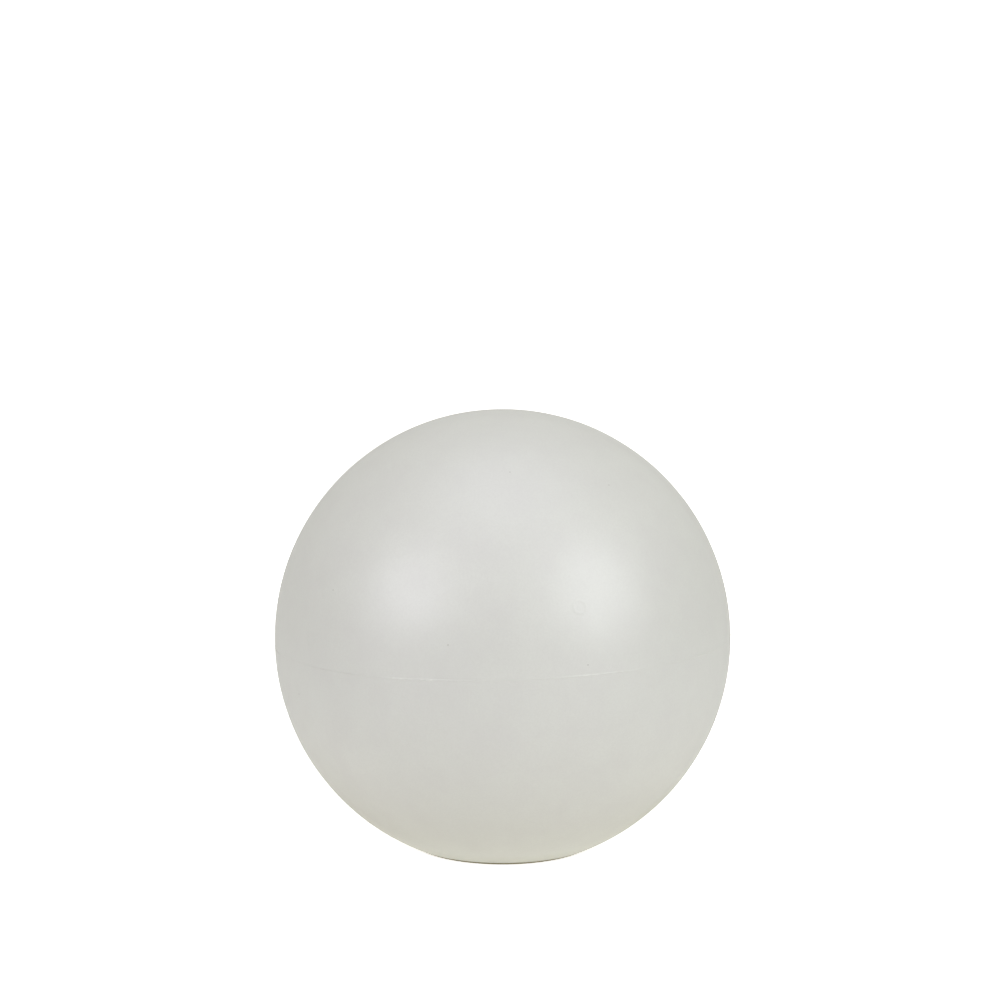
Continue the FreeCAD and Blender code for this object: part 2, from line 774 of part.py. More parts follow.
# ------------------------------------------------------------------ bottom cover
def build_cover():
    body = new_body("bottom_cover")
    plate = new_sketch(body, "plate", "XY_Plane", lift="cover_bottom")
    circle_outline(plate, ("0", "0"), "cover_radius")
    pad(body, "plate", plate, "cover_thick")
    doc.recompute()
    guide = new_sketch(body, "guide", "XY_Plane", lift="cover_top")
    circle_outline(guide, ("button_x", "button_y"), "button_radius + button_gap + guide_wall")
    pad(body, "guide", guide, "guide_height")
    doc.recompute()
    port = new_sketch(body, "port_block", "XY_Plane", lift="cover_top")
    box_outline(port, ("port_x", "port_y + flap_hinge_offset / 2 - flap_gap"),
                "port_block_length", "port_block_width")
    pad(body, "port_block", port, "port_block_rise")
    doc.recompute()
    posts = new_sketch(body, "posts", "XY_Plane", lift="cover_top")
    circle_outline(posts, ("post_x", "post_y"), "post_radius")
    circle_outline(posts, ("post_x", "-1 * post_y"), "post_radius")
    pad(body, "posts", posts, "control_height - cover_top")
    doc.recompute()
    holes = new_sketch(body, "post_holes", "XY_Plane",
                       lift="control_top - small_screw_length - screw_hole_gap")
    for sign in ("1", "-1"):
        circle_outline(holes, ("post_x", f"{sign} * post_y"), "small_screw_radius + small_hole_gap")
    pocket_up(body, "post_holes", holes, "small_screw_length")
    doc.recompute()
    button = new_sketch(body, "button_hole", "XY_Plane", lift="cover_bottom")
    circle_outline(button, ("button_x", "button_y"), "button_radius + button_gap")
    pocket_up(body, "button_hole", button, "cover_thick + guide_height")
    doc.recompute()
    slot = new_sketch(body, "port_slot", "XY_Plane", lift="cover_bottom")
    stadium_outline(slot, ("port_x", "port_y"), "port_length + 2 * slot_gap", "port_width + 2 * slot_gap")
    pocket_up(body, "port_slot", slot, "cover_thick + port_block_rise")
    doc.recompute()
    recess = new_sketch(body, "flap_recess", "XY_Plane", lift="cover_bottom")
    reach = "(flap_reach + flap_knuckle_radius + flap_gap + flap_swing_gap)"
    middle = f"flap_axis_y + flap_knuckle_radius + flap_swing_gap - {reach} / 2"
    box_outline(recess, ("port_x", middle), "flap_length + 2 * flap_gap", reach)
    pocket_up(body, "flap_recess", recess, "flap_top + plunger_gap * 2 - cover_bottom")
    doc.recompute()
    knuckle = new_sketch(body, "knuckle_recess", "XY_Plane", lift="cover_bottom")
    room = "(flap_knuckle_radius + flap_swing_gap)"
    box_outline(knuckle, ("port_x", "flap_axis_y"), "flap_length + 2 * flap_gap", f"2 * {room}")
    pocket_up(body, "knuckle_recess", knuckle,
              "flap_axis_z + flap_knuckle_radius + flap_gap - cover_bottom")
    doc.recompute()
    pin = new_sketch(body, "pin_hole", "YZ_Plane", lift="port_x - flap_pin_length / 2")
    circle_outline(pin, ("flap_axis_y", "flap_axis_z"), "flap_pin_radius + pin_gap")
    pocket_up(body, "pin_hole", pin, "flap_pin_length")
    doc.recompute()
    pipe = new_sketch(body, "pipe_hole", "XY_Plane", lift="cover_bottom")
    circle_outline(pipe, ("status_x", "status_y"), "pipe_radius + pipe_gap")
    pocket_up(body, "pipe_hole", pipe, "cover_thick")
    doc.recompute()
    diagonal(body, "screw_hole", "cover_screw_circle", "screw_radius + screw_hole_gap",
             "cover_bottom", "cover_thick", cut=True)
    diagonal(body, "head_sink", "cover_screw_circle", "screw_head_radius + screw_hole_gap",
             "cover_bottom", "cover_thick / 2", cut=True)


def build_cover_seal():
    inner = "cover_seal_circle - seal_width / 2"
    outer = "cover_seal_circle + seal_width / 2"
    high = "cover_top + seal_height"
    turned("cover_seal", [(inner, "cover_top"), (outer, "cover_top"), (outer, high), (inner, high)])


def build_cover_fasteners():
    inserts = new_body("cover_inserts")
    sketch = new_sketch(inserts, "profile", "XZ_Plane", along="cover_screw_circle")
    ring_outline(sketch, "screw_radius", "insert_radius", "cover_top", "cover_top + insert_length")
    insert = revolve(inserts, "insert", sketch)
    doc.recompute()
    around(inserts, "set", insert, COVER_SCREWS)
    spin(inserts, 45)
    screws = new_body("cover_screws")
    one = screw(screws, "cover_screw_circle", "(cover_bottom + cover_thick / 2)",
                "cover_screw_length", "screw_radius", "screw_head_radius",
                "cover_thick / 2 - screw_hole_gap", point_up=True)
    doc.recompute()
    around(screws, "set", one, COVER_SCREWS)
    spin(screws, 45)


def dress_uprights(body, kind, setting, size):
    """Round or chamfer the upright edges of a block. kind is Fillet or Chamfer."""
    base = body.Tip
    names = [
        f"Edge{number}"
        for number, edge in enumerate(base.Shape.Edges, start=1)
        if edge.BoundBox.ZLength > edge.BoundBox.XLength + edge.BoundBox.YLength
    ]
    made = body.newObject(f"PartDesign::{kind}", f"{body.Name}_corners")
    made.Base = (base, names)
    setattr(made, setting, value(size))
    made.setExpression(setting, sized(size))


# ------------------------------------------------------------------ battery
def build_battery():
    tray = new_body("battery_tray")
    base = new_sketch(tray, "base", "XY_Plane", lift="cover_top")
    box_outline(base, ("0", "0"), "2 * tray_half_width", "2 * tray_half_length")
    pad(tray, "base", base, "tray_height")
    doc.recompute()
    dress_uprights(tray, "Fillet", "Radius", "tray_round")
    doc.recompute()
    bay = new_sketch(tray, "bay", "XY_Plane", lift="tray_top")
    box_outline(bay, ("-1 * cell_pitch", "0"), "2 * (cell_radius + cell_gap)",
                "cell_length + 2 * end_room")
    first = pocket_up(tray, "bay", bay, "tray_height - tray_floor")
    doc.recompute()
    in_line(tray, "bays", first, "X_Axis", "cell_pitch", CELLS)
    for number in range(CELLS):
        cell = new_body(f"battery_cell_{number + 1}")
        sketch = new_sketch(cell, "profile", "XZ_Plane")
        half = "cell_length / 2"
        outline(sketch, [
            ("0", f"-1 * {half}"),
            ("cell_radius - cell_round", f"-1 * {half}"),
            ("cell_radius", f"-1 * {half} + cell_round"),
            ("cell_radius", f"{half} - cell_round"),
            ("cell_radius - cell_round", half),
            ("0", half),
        ], {1: ("cell_round", True), 3: ("cell_round", True)})
        revolve(cell, "can", sketch)
        side = 1 if number % 2 == 0 else -1
        cell.Placement = Placement(Vector(), Rotation(Vector(1, 0, 0), 90 * side))
        move(cell, x=f"cell_pitch * {number - (CELLS - 1) // 2}", z="cell_axis")
    contacts = new_body("cell_contacts")
    plate = new_sketch(contacts, "plate", "XZ_Plane", lift="-1 * (cell_length / 2 + contact_thick)")
    box_outline(plate, ("-1 * cell_pitch", "cell_axis"), "contact_size", "contact_size")
    first = pad(contacts, "plate", plate, "contact_thick")
    doc.recompute()
    both = contacts.newObject("PartDesign::MultiTransform", "cell_contacts_both_ends")
    both.Originals = [first]
    along = contacts.newObject("PartDesign::LinearPattern", "cell_contacts_along")
    along.Direction = (datum(contacts, "X_Axis"), [""])
    along.Occurrences = CELLS
    along.setExpression("Length", sized(f"cell_pitch * {CELLS - 1}"))
    across = contacts.newObject("PartDesign::Mirrored", "cell_contacts_across")
    across.MirrorPlane = (datum(contacts, "XZ_Plane"), [""])
    both.Transformations = [along, across]
    contacts.Tip = both


# ------------------------------------------------------------------ driver board
def build_driver_board():
    board = new_body("driver_board")
    disc = new_sketch(board, "disc", "XY_Plane", lift="board_bottom")
    circle_outline(disc, ("0", "0"), "board_radius")
    pad(board, "disc", disc, "board_thick")
    doc.recompute()
    hole = new_sketch(board, "lead_hole", "XY_Plane", lift="board_bottom")
    circle_outline(hole, ("0", "lead_hole_y"), "lead_hole_radius")
    pocket_up(board, "lead_hole", hole, "board_thick")
    doc.recompute()
    diagonal(board, "screw_hole", "board_screw_circle", "screw_radius + screw_hole_gap",
             "board_bottom", "board_thick", cut=True)

    screws = new_body("board_screws")
    one = screw(screws, "board_screw_circle", "board_bottom", "board_screw_length", "screw_radius",
                "screw_head_radius", "screw_head_height", point_up=True)
    doc.recompute()
    around(screws, "set", one, BOARD_SCREWS)
    spin(screws, 45)

    chips = new_body("driver_chips")
    sketch = new_sketch(chips, "chip", "XY_Plane", lift="board_top")
    box_outline(sketch, ("chip_x", "-1 * chip_pitch"), "chip_size", "chip_size")
    chip = pad(chips, "chip", sketch, "chip_height")
    doc.recompute()
    in_line(chips, "row", chip, "Y_Axis", "chip_pitch", CHIPS)

    coil = block("power_inductor", ("inductor_x", "inductor_y"), "inductor_size", "inductor_size",
                 "board_top", "inductor_height")
    doc.recompute()
    dress_uprights(coil, "Chamfer", "Size", "inductor_chamfer")

    can = new_body("buffer_capacitor")
    sketch = new_sketch(can, "disc", "XY_Plane", lift="board_top")
    circle_outline(sketch, ("capacitor_x", "capacitor_y"), "capacitor_radius")
    pad(can, "can", sketch, "capacitor_height")

    sockets = new_body("lead_sockets")
    sketch = new_sketch(sockets, "sockets", "XY_Plane", lift="board_top")
    box_outline(sketch, ("0", "0"), "socket_length", "socket_width")
    box_outline(sketch, ("0", "battery_socket_y"), "socket_length", "socket_width")
    pad(sockets, "sockets", sketch, "socket_height")


# ------------------------------------------------------------------ control board
def build_control_board():
    board = new_body("control_board")
    sketch = new_sketch(board, "plate", "XY_Plane", lift="control_height")
    box_outline(sketch, ("control_x", "0"), "control_width", "control_length")
    pad(board, "plate", sketch, "board_thick")
    doc.recompute()
    holes = new_sketch(board, "holes", "XY_Plane", lift="control_height")
    for sign in ("1", "-1"):
        circle_outline(holes, ("post_x", f"{sign} * post_y"), "small_screw_radius + screw_hole_gap")
    pocket_up(board, "holes", holes, "board_thick")

    screws = new_body("control_screws")
    sketch = new_sketch(screws, "profile", "XZ_Plane", along="post_x", lift="-1 * post_y")
    outline(sketch, [
        ("0", "control_top - small_screw_length"),
        ("small_screw_radius", "control_top - small_screw_length"),
        ("small_screw_radius", "control_top"),
        ("small_screw_head", "control_top"),
        ("small_screw_head", "control_top + small_screw_radius"),
        ("0", "control_top + small_screw_radius"),
    ])
    one = revolve(screws, "screw", sketch)
    doc.recompute()
    mirrored(screws, "pair", one, "XZ_Plane")

    header = new_body("board_header")
    sketch = new_sketch(header, "body", "XY_Plane", lift="control_top")
    box_outline(sketch, ("header_x", "0"), "header_width", "header_length")
    pad(header, "body", sketch, "board_bottom - control_top")


def build_button():
    switch = new_body("push_switch")
    sketch = new_sketch(switch, "body", "XY_Plane", lift="switch_bottom")
    box_outline(sketch, ("button_x", "button_y"), "switch_size", "switch_size")
    pad(switch, "body", sketch, "switch_height")
    doc.recompute()
    well = new_sketch(switch, "well", "XY_Plane", lift="switch_bottom")
    circle_outline(well, ("button_x", "button_y"), "plunger_radius + plunger_gap")
    pocket_up(switch, "well", well, "well_top - switch_bottom")

    plunger = new_body("switch_plunger")
    sketch = new_sketch(plunger, "pin", "XY_Plane", lift="nose_top + plunger_gap")
    circle_outline(sketch, ("button_x", "button_y"), "plunger_radius")
    pad(plunger, "pin", sketch, "plunger_length")

    button = new_body("power_button")
    sketch = new_sketch(button, "profile", "XZ_Plane", along="button_x", lift="-1 * button_y")
    outline(sketch, [
        ("0", "button_bottom + button_dish"),
        ("button_radius - button_bevel", "button_bottom"),
        ("button_radius", "button_bottom + button_bevel"),
        ("button_radius", "button_flange"),
        ("button_flange_radius", "button_flange"),
        ("button_flange_radius", "button_top"),
        ("button_nose_radius", "button_top"),
        ("button_nose_radius", "nose_top"),
        ("0", "nose_top"),
    ])
    revolve(button, "cap", sketch)

    washer = new_body("button_seal")
    sketch = new_sketch(washer, "profile", "XZ_Plane", along="button_x", lift="-1 * button_y")
    ring_outline(sketch, "button_radius + button_gap", "button_radius + button_gap + guide_wall",
                 "guide_top", "guide_top + button_seal_thick")
    revolve(washer, "ring", sketch)


def build_button_spring():
    """A compression spring round the switch, from the button's flange up to the control board."""
    wire = value("spring_wire")
    low = value("button_top + spring_wire + plunger_gap / 2")
    high = value("control_height - spring_wire - plunger_gap / 2")
    radius = value("spring_radius")
    turns = value("spring_turns")
    pitch = (high - low) / turns
    path = Part.makeHelix(pitch, high - low, radius)
    section = Part.Wire([Part.makeCircle(wire, Vector(radius, 0, 0), Vector(0, 1, 0))])
    coil = Part.Wire(path).makePipeShell([section], True, True)
    spring = doc.addObject("Part::Feature", "button_spring")
    spring.Label = "button_spring"
    spring.Shape = coil
    spring.Placement = Placement(Vector(value("button_x"), value("button_y"), low), Rotation())
    print(f"button_spring: gap between turns {pitch - 2 * wire:.2f} mm")
    NODES.append(spring)


# ------------------------------------------------------------------ charge port
def build_port():
    port = new_body("charge_port")
    shell = new_sketch(port, "shell", "XY_Plane", lift="port_mouth")
    stadium_outline(shell, ("port_x", "port_y"), "port_length", "port_width")
    pad(port, "shell", shell, "port_height")
    doc.recompute()
    well = new_sketch(port, "well", "XY_Plane", lift="port_mouth")
    stadium_outline(well, ("port_x", "port_y"), "port_length - 2 * port_wall", "port_width - 2 * port_wall")
    pocket_up(port, "well", well, "port_depth")
    doc.recompute()
    tongue = new_sketch(port, "tongue", "XY_Plane", lift="port_mouth + port_tongue_recess")
    box_outline(tongue, ("port_x", "port_y"), "port_tongue_length", "port_tongue_width")
    pad(port, "tongue", tongue, "port_depth")

    flap = new_body("port_flap")
    leaf = new_sketch(flap, "leaf", "YZ_Plane", lift="port_x - flap_length / 2")
    outline(leaf, [
        ("flap_axis_y - flap_reach", "flap_bottom"),
        ("flap_axis_y", "flap_bottom"),
        ("flap_axis_y + flap_knuckle_radius", "flap_axis_z"),
        ("flap_axis_y", "flap_axis_z + flap_knuckle_radius"),
        ("flap_axis_y - flap_knuckle_radius", "flap_top"),
        ("flap_axis_y - flap_reach", "flap_top"),
    ], {1: ("flap_knuckle_radius", True), 2: ("flap_knuckle_radius", True)})
    pad(flap, "leaf", leaf, "flap_length")
    doc.recompute()
    stopper = new_sketch(flap, "stopper", "XY_Plane", lift="flap_top")
    stadium_outline(stopper, ("port_x", "port_y"), "stopper_length", "stopper_width")
    pad(flap, "stopper", stopper, "stopper_height")
    doc.recompute()
    bore = new_sketch(flap, "pin_bore", "YZ_Plane", lift="port_x - flap_length / 2")
    circle_outline(bore, ("flap_axis_y", "flap_axis_z"), "flap_pin_radius + pin_gap")
    pocket_up(flap, "pin_bore", bore, "flap_length")

    pin = new_body("flap_pin")
    sketch = new_sketch(pin, "pin", "YZ_Plane", lift="port_x - flap_pin_length / 2 + pin_gap")
    circle_outline(sketch, ("flap_axis_y", "flap_axis_z"), "flap_pin_radius")
    pad(pin, "pin", sketch, "flap_pin_length - 2 * pin_gap")


def build_status_light():
    block("status_led", ("status_x", "status_y"), "status_size", "status_size / 2",
          "control_height - status_height", "status_height")
    pipe = new_body("light_pipe")
    sketch = new_sketch(pipe, "profile", "XZ_Plane", along="status_x", lift="-1 * status_y")
    outline(sketch, [
        ("0", "cover_bottom + pipe_gap"),
        ("pipe_radius", "cover_bottom + pipe_gap"),
        ("pipe_radius", "cover_top"),
        ("pipe_flange_radius", "cover_top"),
        ("pipe_flange_radius", "cover_top + pipe_flange_thick"),
        ("pipe_radius", "cover_top + pipe_flange_thick"),
        ("pipe_radius", "control_height - status_height - pipe_gap"),
        ("0", "control_height - status_height - pipe_gap"),
    ])
    revolve(pipe, "pipe", sketch)


# ------------------------------------------------------------------ light source
def build_light_source():
    lip = "(grommet_radius + grommet_lip)"
    grommet = turned("deck_grommet", [
        ("0", "deck_bottom - grommet_lip_thick"),
        (lip, "deck_bottom - grommet_lip_thick"),
        (lip, "deck_bottom"),
        ("grommet_radius", "deck_bottom"),
        ("grommet_radius", "deck_height"),
        (lip, "deck_height"),
        (lip, "deck_height + grommet_lip_thick"),
        ("0", "deck_height + grommet_lip_thick"),
    ])
    doc.recompute()
    holes = new_sketch(grommet, "holes", "XY_Plane", lift="deck_bottom - grommet_lip_thick")
    for sign in ("1", "-1"):
        circle_outline(holes, (f"{sign} * lead_pitch / 2", "0"), "lead_radius + pin_gap")
    pocket_up(grommet, "holes", holes, "deck_thick + 2 * grommet_lip_thick")

    spreader = turned("heat_spreader", [
        ("spreader_bore", "deck_height"),
        ("spreader_radius", "deck_height"),
        ("spreader_radius", "spreader_top"),
        ("spreader_bore", "spreader_top"),
    ])
    doc.recompute()
    board = turned("led_board", [
        ("led_board_bore", "spreader_top"),
        ("led_board_radius", "spreader_top"),
        ("led_board_radius", "led_board_top"),
        ("led_board_bore", "led_board_top"),
    ])
    doc.recompute()
    hole_ring(spreader, "screw_hole", "led_screw_circle", "screw_radius + screw_hole_gap",
              "deck_height", "spreader_thick", LED_SCREWS)
    hole_ring(board, "screw_hole", "led_screw_circle", "screw_radius + screw_hole_gap",
              "spreader_top", "led_board_thick", LED_SCREWS)

    leds = new_body("white_leds")
    outer = new_sketch(leds, "outer", "XY_Plane", lift="led_board_top")
    box_outline(outer, ("led_outer_circle", "0"), "led_width", "led_length")
    first = pad(leds, "outer", outer, "led_height")
    doc.recompute()
    around(leds, "outer_ring", first, OUTER_LEDS)
    doc.recompute()
    inner = new_sketch(leds, "inner", "XY_Plane", lift="led_board_top")
    box_outline(inner, ("led_inner_circle", "0"), "led_width", "led_length")
    second = pad(leds, "inner", inner, "led_height")
    doc.recompute()
    around(leds, "inner_ring", second, INNER_LEDS)

    screws = new_body("led_screws")
    one = screw(screws, "led_screw_circle", "led_board_top", "led_screw_length", "screw_radius",
                "screw_head_radius", "screw_head_height")
    doc.recompute()
    around(screws, "set", one, LED_SCREWS)


def build_dome():
    dome = turned("diffuser_dome", [
        ("dome_radius - dome_wall", "deck_height"),
        ("dome_flange_radius", "deck_height"),
        ("dome_flange_radius", "dome_flange_top"),
        ("sqrt(dome_radius^2 - dome_flange_thick^2)", "dome_flange_top"),
        ("0", "deck_height + dome_radius"),
        ("0", "deck_height + dome_radius - dome_wall"),
    ], {3: ("dome_radius", True), 5: ("dome_radius - dome_wall", False)})
    doc.recompute()
    hole_ring(dome, "screw_hole", "dome_screw_circle", "screw_radius + screw_hole_gap",
              "deck_height", "dome_flange_thick", DOME_SCREWS)

    inner = "dome_seal_circle - dome_seal_width / 2"
    outer = "dome_seal_circle + dome_seal_width / 2"
    low = "deck_height - dome_seal_height"
    turned("dome_seal", [(inner, low), (outer, low), (outer, "deck_height"), (inner, "deck_height")])

    screws = new_body("dome_screws")
    one = screw(screws, "dome_screw_circle", "dome_flange_top", "dome_screw_length", "screw_radius",
                "screw_head_radius", "screw_head_height")
    doc.recompute()
    around(screws, "set", one, DOME_SCREWS)


# ------------------------------------------------------------------ leads
def lead(points, radius, bend):
    """A round lead: straight runs joined by tangent arcs of one bend radius."""
    edges = []
    start = points[0]
    for before, corner, after in zip(points, points[1:], points[2:]):
        into = (corner - before).normalize()
        out = (after - corner).normalize()
        turn = into.getAngle(out)
        back = bend * math.tan(turn / 2)
        first, last = corner - into * back, corner + out * back
        inward = (out - into).normalize()
        centre = corner + inward * (bend / math.cos(turn / 2))
        middle = centre - inward * bend
        edges.append(Part.LineSegment(start, first).toShape())
        edges.append(Part.Arc(first, middle, last).toShape())
        start = last
    edges.append(Part.LineSegment(start, points[-1]).toShape())
    section = Part.Wire([Part.makeCircle(radius, points[0], points[1] - points[0])])
    return Part.Wire(edges).makePipeShell([section], True, False)


def lead_pair(label, routes):
    pair = doc.addObject("Part::Feature", label)
    pair.Label = label
    wire, bend = value("lead_radius"), value("lead_bend")
    pair.Shape = Part.Compound([lead(points, wire, bend) for points in routes])
    pair.Placement = Placement()
    NODES.append(pair)


def build_leads():
    half = value("lead_pitch / 2")
    cell_x = value("cell_pitch")
    wire = value("lead_radius")
    contact_y = value("cell_length / 2 + contact_thick") + wire
    contact_z = value("cell_axis + contact_size / 4")
    over_cells = value("(cell_axis + cell_radius + board_bottom) / 2")
    over_board = value("board_top + socket_height / 2 + lead_radius")
    hole_y = value("lead_hole_y")
    socket_y = value("battery_socket_y + socket_width / 2")
    lead_pair("battery_leads", [
        [
            Vector(side * cell_x, contact_y, contact_z),
            Vector(side * cell_x, contact_y, over_cells),
            Vector(side * half, hole_y, over_cells),
            Vector(side * half, hole_y, over_board),
            Vector(side * half, socket_y, over_board),
        ]
        for side in (-1, 1)
    ])
    socket_top = value("board_top + socket_height")
    crest = value("led_board_top + led_lead_rise")
    pad_z = value("led_board_top")
    pad_x = value("led_pad_reach")
    lead_pair("led_leads", [
        [
            Vector(side * half, 0, socket_top),
            Vector(side * half, 0, crest),
            Vector(side * pad_x, 0, crest),
            Vector(side * pad_x, 0, pad_z),
        ]
        for side in (-1, 1)
    ])


# ------------------------------------------------------------------ build, check and write
def check(node):
    """Stop on a failed feature, an empty shape or an invalid one."""
    for item in [node, *node.OutListRecursive]:
        if {"Invalid", "Error"} & set(item.State):
            raise RuntimeError(f"{item.Label} failed: {item.State}")
    if node.Shape.isNull() or not node.Shape.isValid() or not node.Shape.Solids:
        raise RuntimeError(f"{node.Label} has no valid solid")


def write_parts():
    os.makedirs("parts", exist_ok=True)
    for node in NODES:
        check(node)
    for node in NODES:
        node.Shape.exportStep(f"parts/{node.Label}.step")
        box = node.Shape.BoundBox
        print(f"{node.Label}: {len(node.Shape.Solids)} solids, {node.Shape.Volume:.0f} mm3, "
              f"z {box.ZMin:.2f} to {box.ZMax:.2f}")


build_globe()
build_globe_gasket()
build_base_pan()
build_foot_ring()
build_cover()
build_cover_seal()
build_cover_fasteners()
build_battery()
build_driver_board()
build_control_board()
build_button()
build_port()
build_status_light()
build_light_source()
build_dome()
doc.recompute()
build_button_spring()
build_leads()
doc.recompute()
write_parts()
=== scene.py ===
import json
import math

import bpy
import numpy as np
from mathutils import Euler, Matrix, Vector


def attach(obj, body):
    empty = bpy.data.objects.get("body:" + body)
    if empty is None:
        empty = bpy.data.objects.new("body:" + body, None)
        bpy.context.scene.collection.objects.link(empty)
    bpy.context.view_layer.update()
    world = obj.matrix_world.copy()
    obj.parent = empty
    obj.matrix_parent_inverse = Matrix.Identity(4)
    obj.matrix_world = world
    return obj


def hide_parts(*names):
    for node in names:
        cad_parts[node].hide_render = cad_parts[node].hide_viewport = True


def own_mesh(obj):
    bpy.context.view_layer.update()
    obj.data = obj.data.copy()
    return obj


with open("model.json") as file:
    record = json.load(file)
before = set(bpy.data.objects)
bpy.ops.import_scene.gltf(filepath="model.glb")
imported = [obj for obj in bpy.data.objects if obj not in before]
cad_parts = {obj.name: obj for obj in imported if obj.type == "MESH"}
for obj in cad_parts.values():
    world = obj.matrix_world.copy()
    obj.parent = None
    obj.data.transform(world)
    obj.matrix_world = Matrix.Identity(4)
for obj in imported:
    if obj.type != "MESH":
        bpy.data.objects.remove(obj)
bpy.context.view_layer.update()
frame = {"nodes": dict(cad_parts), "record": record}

# Garden globe light. Metres, +Z up, front facing -Y, origin in the middle of the foot on the floor.
MM = 0.001

# ------------------------------------------------------------------ sizes, as in the construction
GLOBE_RADIUS = 200 * MM
GLOBE_WALL = 4 * MM
FLAT_RADIUS = 86.8 * MM
RIM_LIFT = 2.2 * MM
RIM_BORE = 84 * MM
RIM_ROUND = 1 * MM
REBATE_DEPTH = 7 * MM
FLOOR_WALL = 4 * MM
NECK_BORE = 62 * MM
NECK_WALL = 4 * MM
NECK_RISE = 26 * MM
THREAD_LEAD = 48 * MM
THREAD_STARTS = 3
RAMP_ARC = math.radians(50)
RAMP_THICK = 4 * MM
RAMP_BORE = 58.3 * MM
RAMP_START = 3.8 * MM
SEAM_TILT = math.radians(1.4)
SEAM_STAND = 0.26 * MM
SEAM_SPREAD = 0.42 * MM
SEAM_FADE = 1.35  # the seam's tilt is gone at a quarter turn over this, in latitude
# heights of the rows of points across the seam, in millimetres above it
SEAM_ROWS = (2.4, 1.6, 1.1, 0.8, 0.55, 0.35, 0.17, 0,
             -0.17, -0.35, -0.55, -0.8, -1.1, -1.6, -2.4)
# the height of the seam's bead round the globe: its mean, and waves by height, count and shift
BEAD_MEAN = 0.62
BEAD_WAVES = ((0.2, 3, 0.6), (0.12, 11, 2), (0.1, 37, 0))
BEAD_CUT = 0.75  # share of the bead that is gone in its short gaps
WAVE_HEIGHT = 0.05 * MM
WAVE_COUNT = 26
WAVE_LENGTHS = (35, 95)  # millimetres
RIM_FADE = 12 * MM
RIM_GAP = 0.008  # radians between the last row of the ball and the rim
RAMP_BITE = 1 * MM
GLOBE_COLUMNS = 480
UPPER_ROWS, LOWER_ROWS, INNER_ROWS = 90, 60, 24
SPRING_MIDDLE = (41 * MM, -8 * MM)
SPRING_ENDS = (9.05 * MM, 14.7 * MM)
SPRING_RADIUS = 5.2 * MM
SPRING_WIRE = 0.25 * MM
SPRING_TURNS = 4.5

GLOBE_DROP = math.sqrt(GLOBE_RADIUS**2 - FLAT_RADIUS**2)
CENTRE_Z = RIM_LIFT + GLOBE_DROP
REBATE_TOP = RIM_LIFT + REBATE_DEPTH

# ------------------------------------------------------------------ photograph and camera
PHOTO_SIZE = 1000
GLOBE_PIXEL = (502.56, 635.31)
GLOBE_PIXEL_RADIUS = 228.3
CAMERA_RADII = 8  # distance from the globe's centre, in globe radii
CAMERA_ELEVATION = math.radians(10)
SENSOR = 36

# ------------------------------------------------------------------ studio
# name, azimuth, elevation, distance, (width, height), watts, tint
SOFT_BOXES = (
    ("left_box", -48, 25, 1.9, (1.1, 1.05), 8.9, (0.9, 0.885, 1)),
    ("right_box", 48, 26, 1.9, (1.1, 1.35), 12.5, (0.93, 0.95, 1)),
    ("top_box", 0, 80, 2.2, (2.2, 2.2), 10.8, (0.85, 0.845, 1)),
    ("front_box", 0, 32, 2.4, (2.6, 1.7), 1.5, (0.78, 0.74, 1)),
)
WORLD_STRENGTH = 0.77
WORLD_TINT = (1, 0.994, 0.915)
FLOOR_REACH = 6
COVE = 1.2
WALL_HEIGHT = 2.8
# the floor's own glow: in the half metre round the foot, close to the foot, and as the camera sees it
NEAR_GLOW = (0.217, 0.191, 0.113)
FOOT_GLOW = (0.5, 0.495, 0.43)
PAPER_WHITE = 0.75


# ------------------------------------------------------------------ small helpers
def link(obj):
    bpy.context.scene.collection.objects.link(obj)
    return obj


def mesh_object(name, points, faces):
    mesh = bpy.data.meshes.new(name)
    mesh.from_pydata([tuple(point) for point in points], [], faces)
    mesh.update()
    mesh.shade_smooth()
    return link(bpy.data.objects.new(name, mesh))


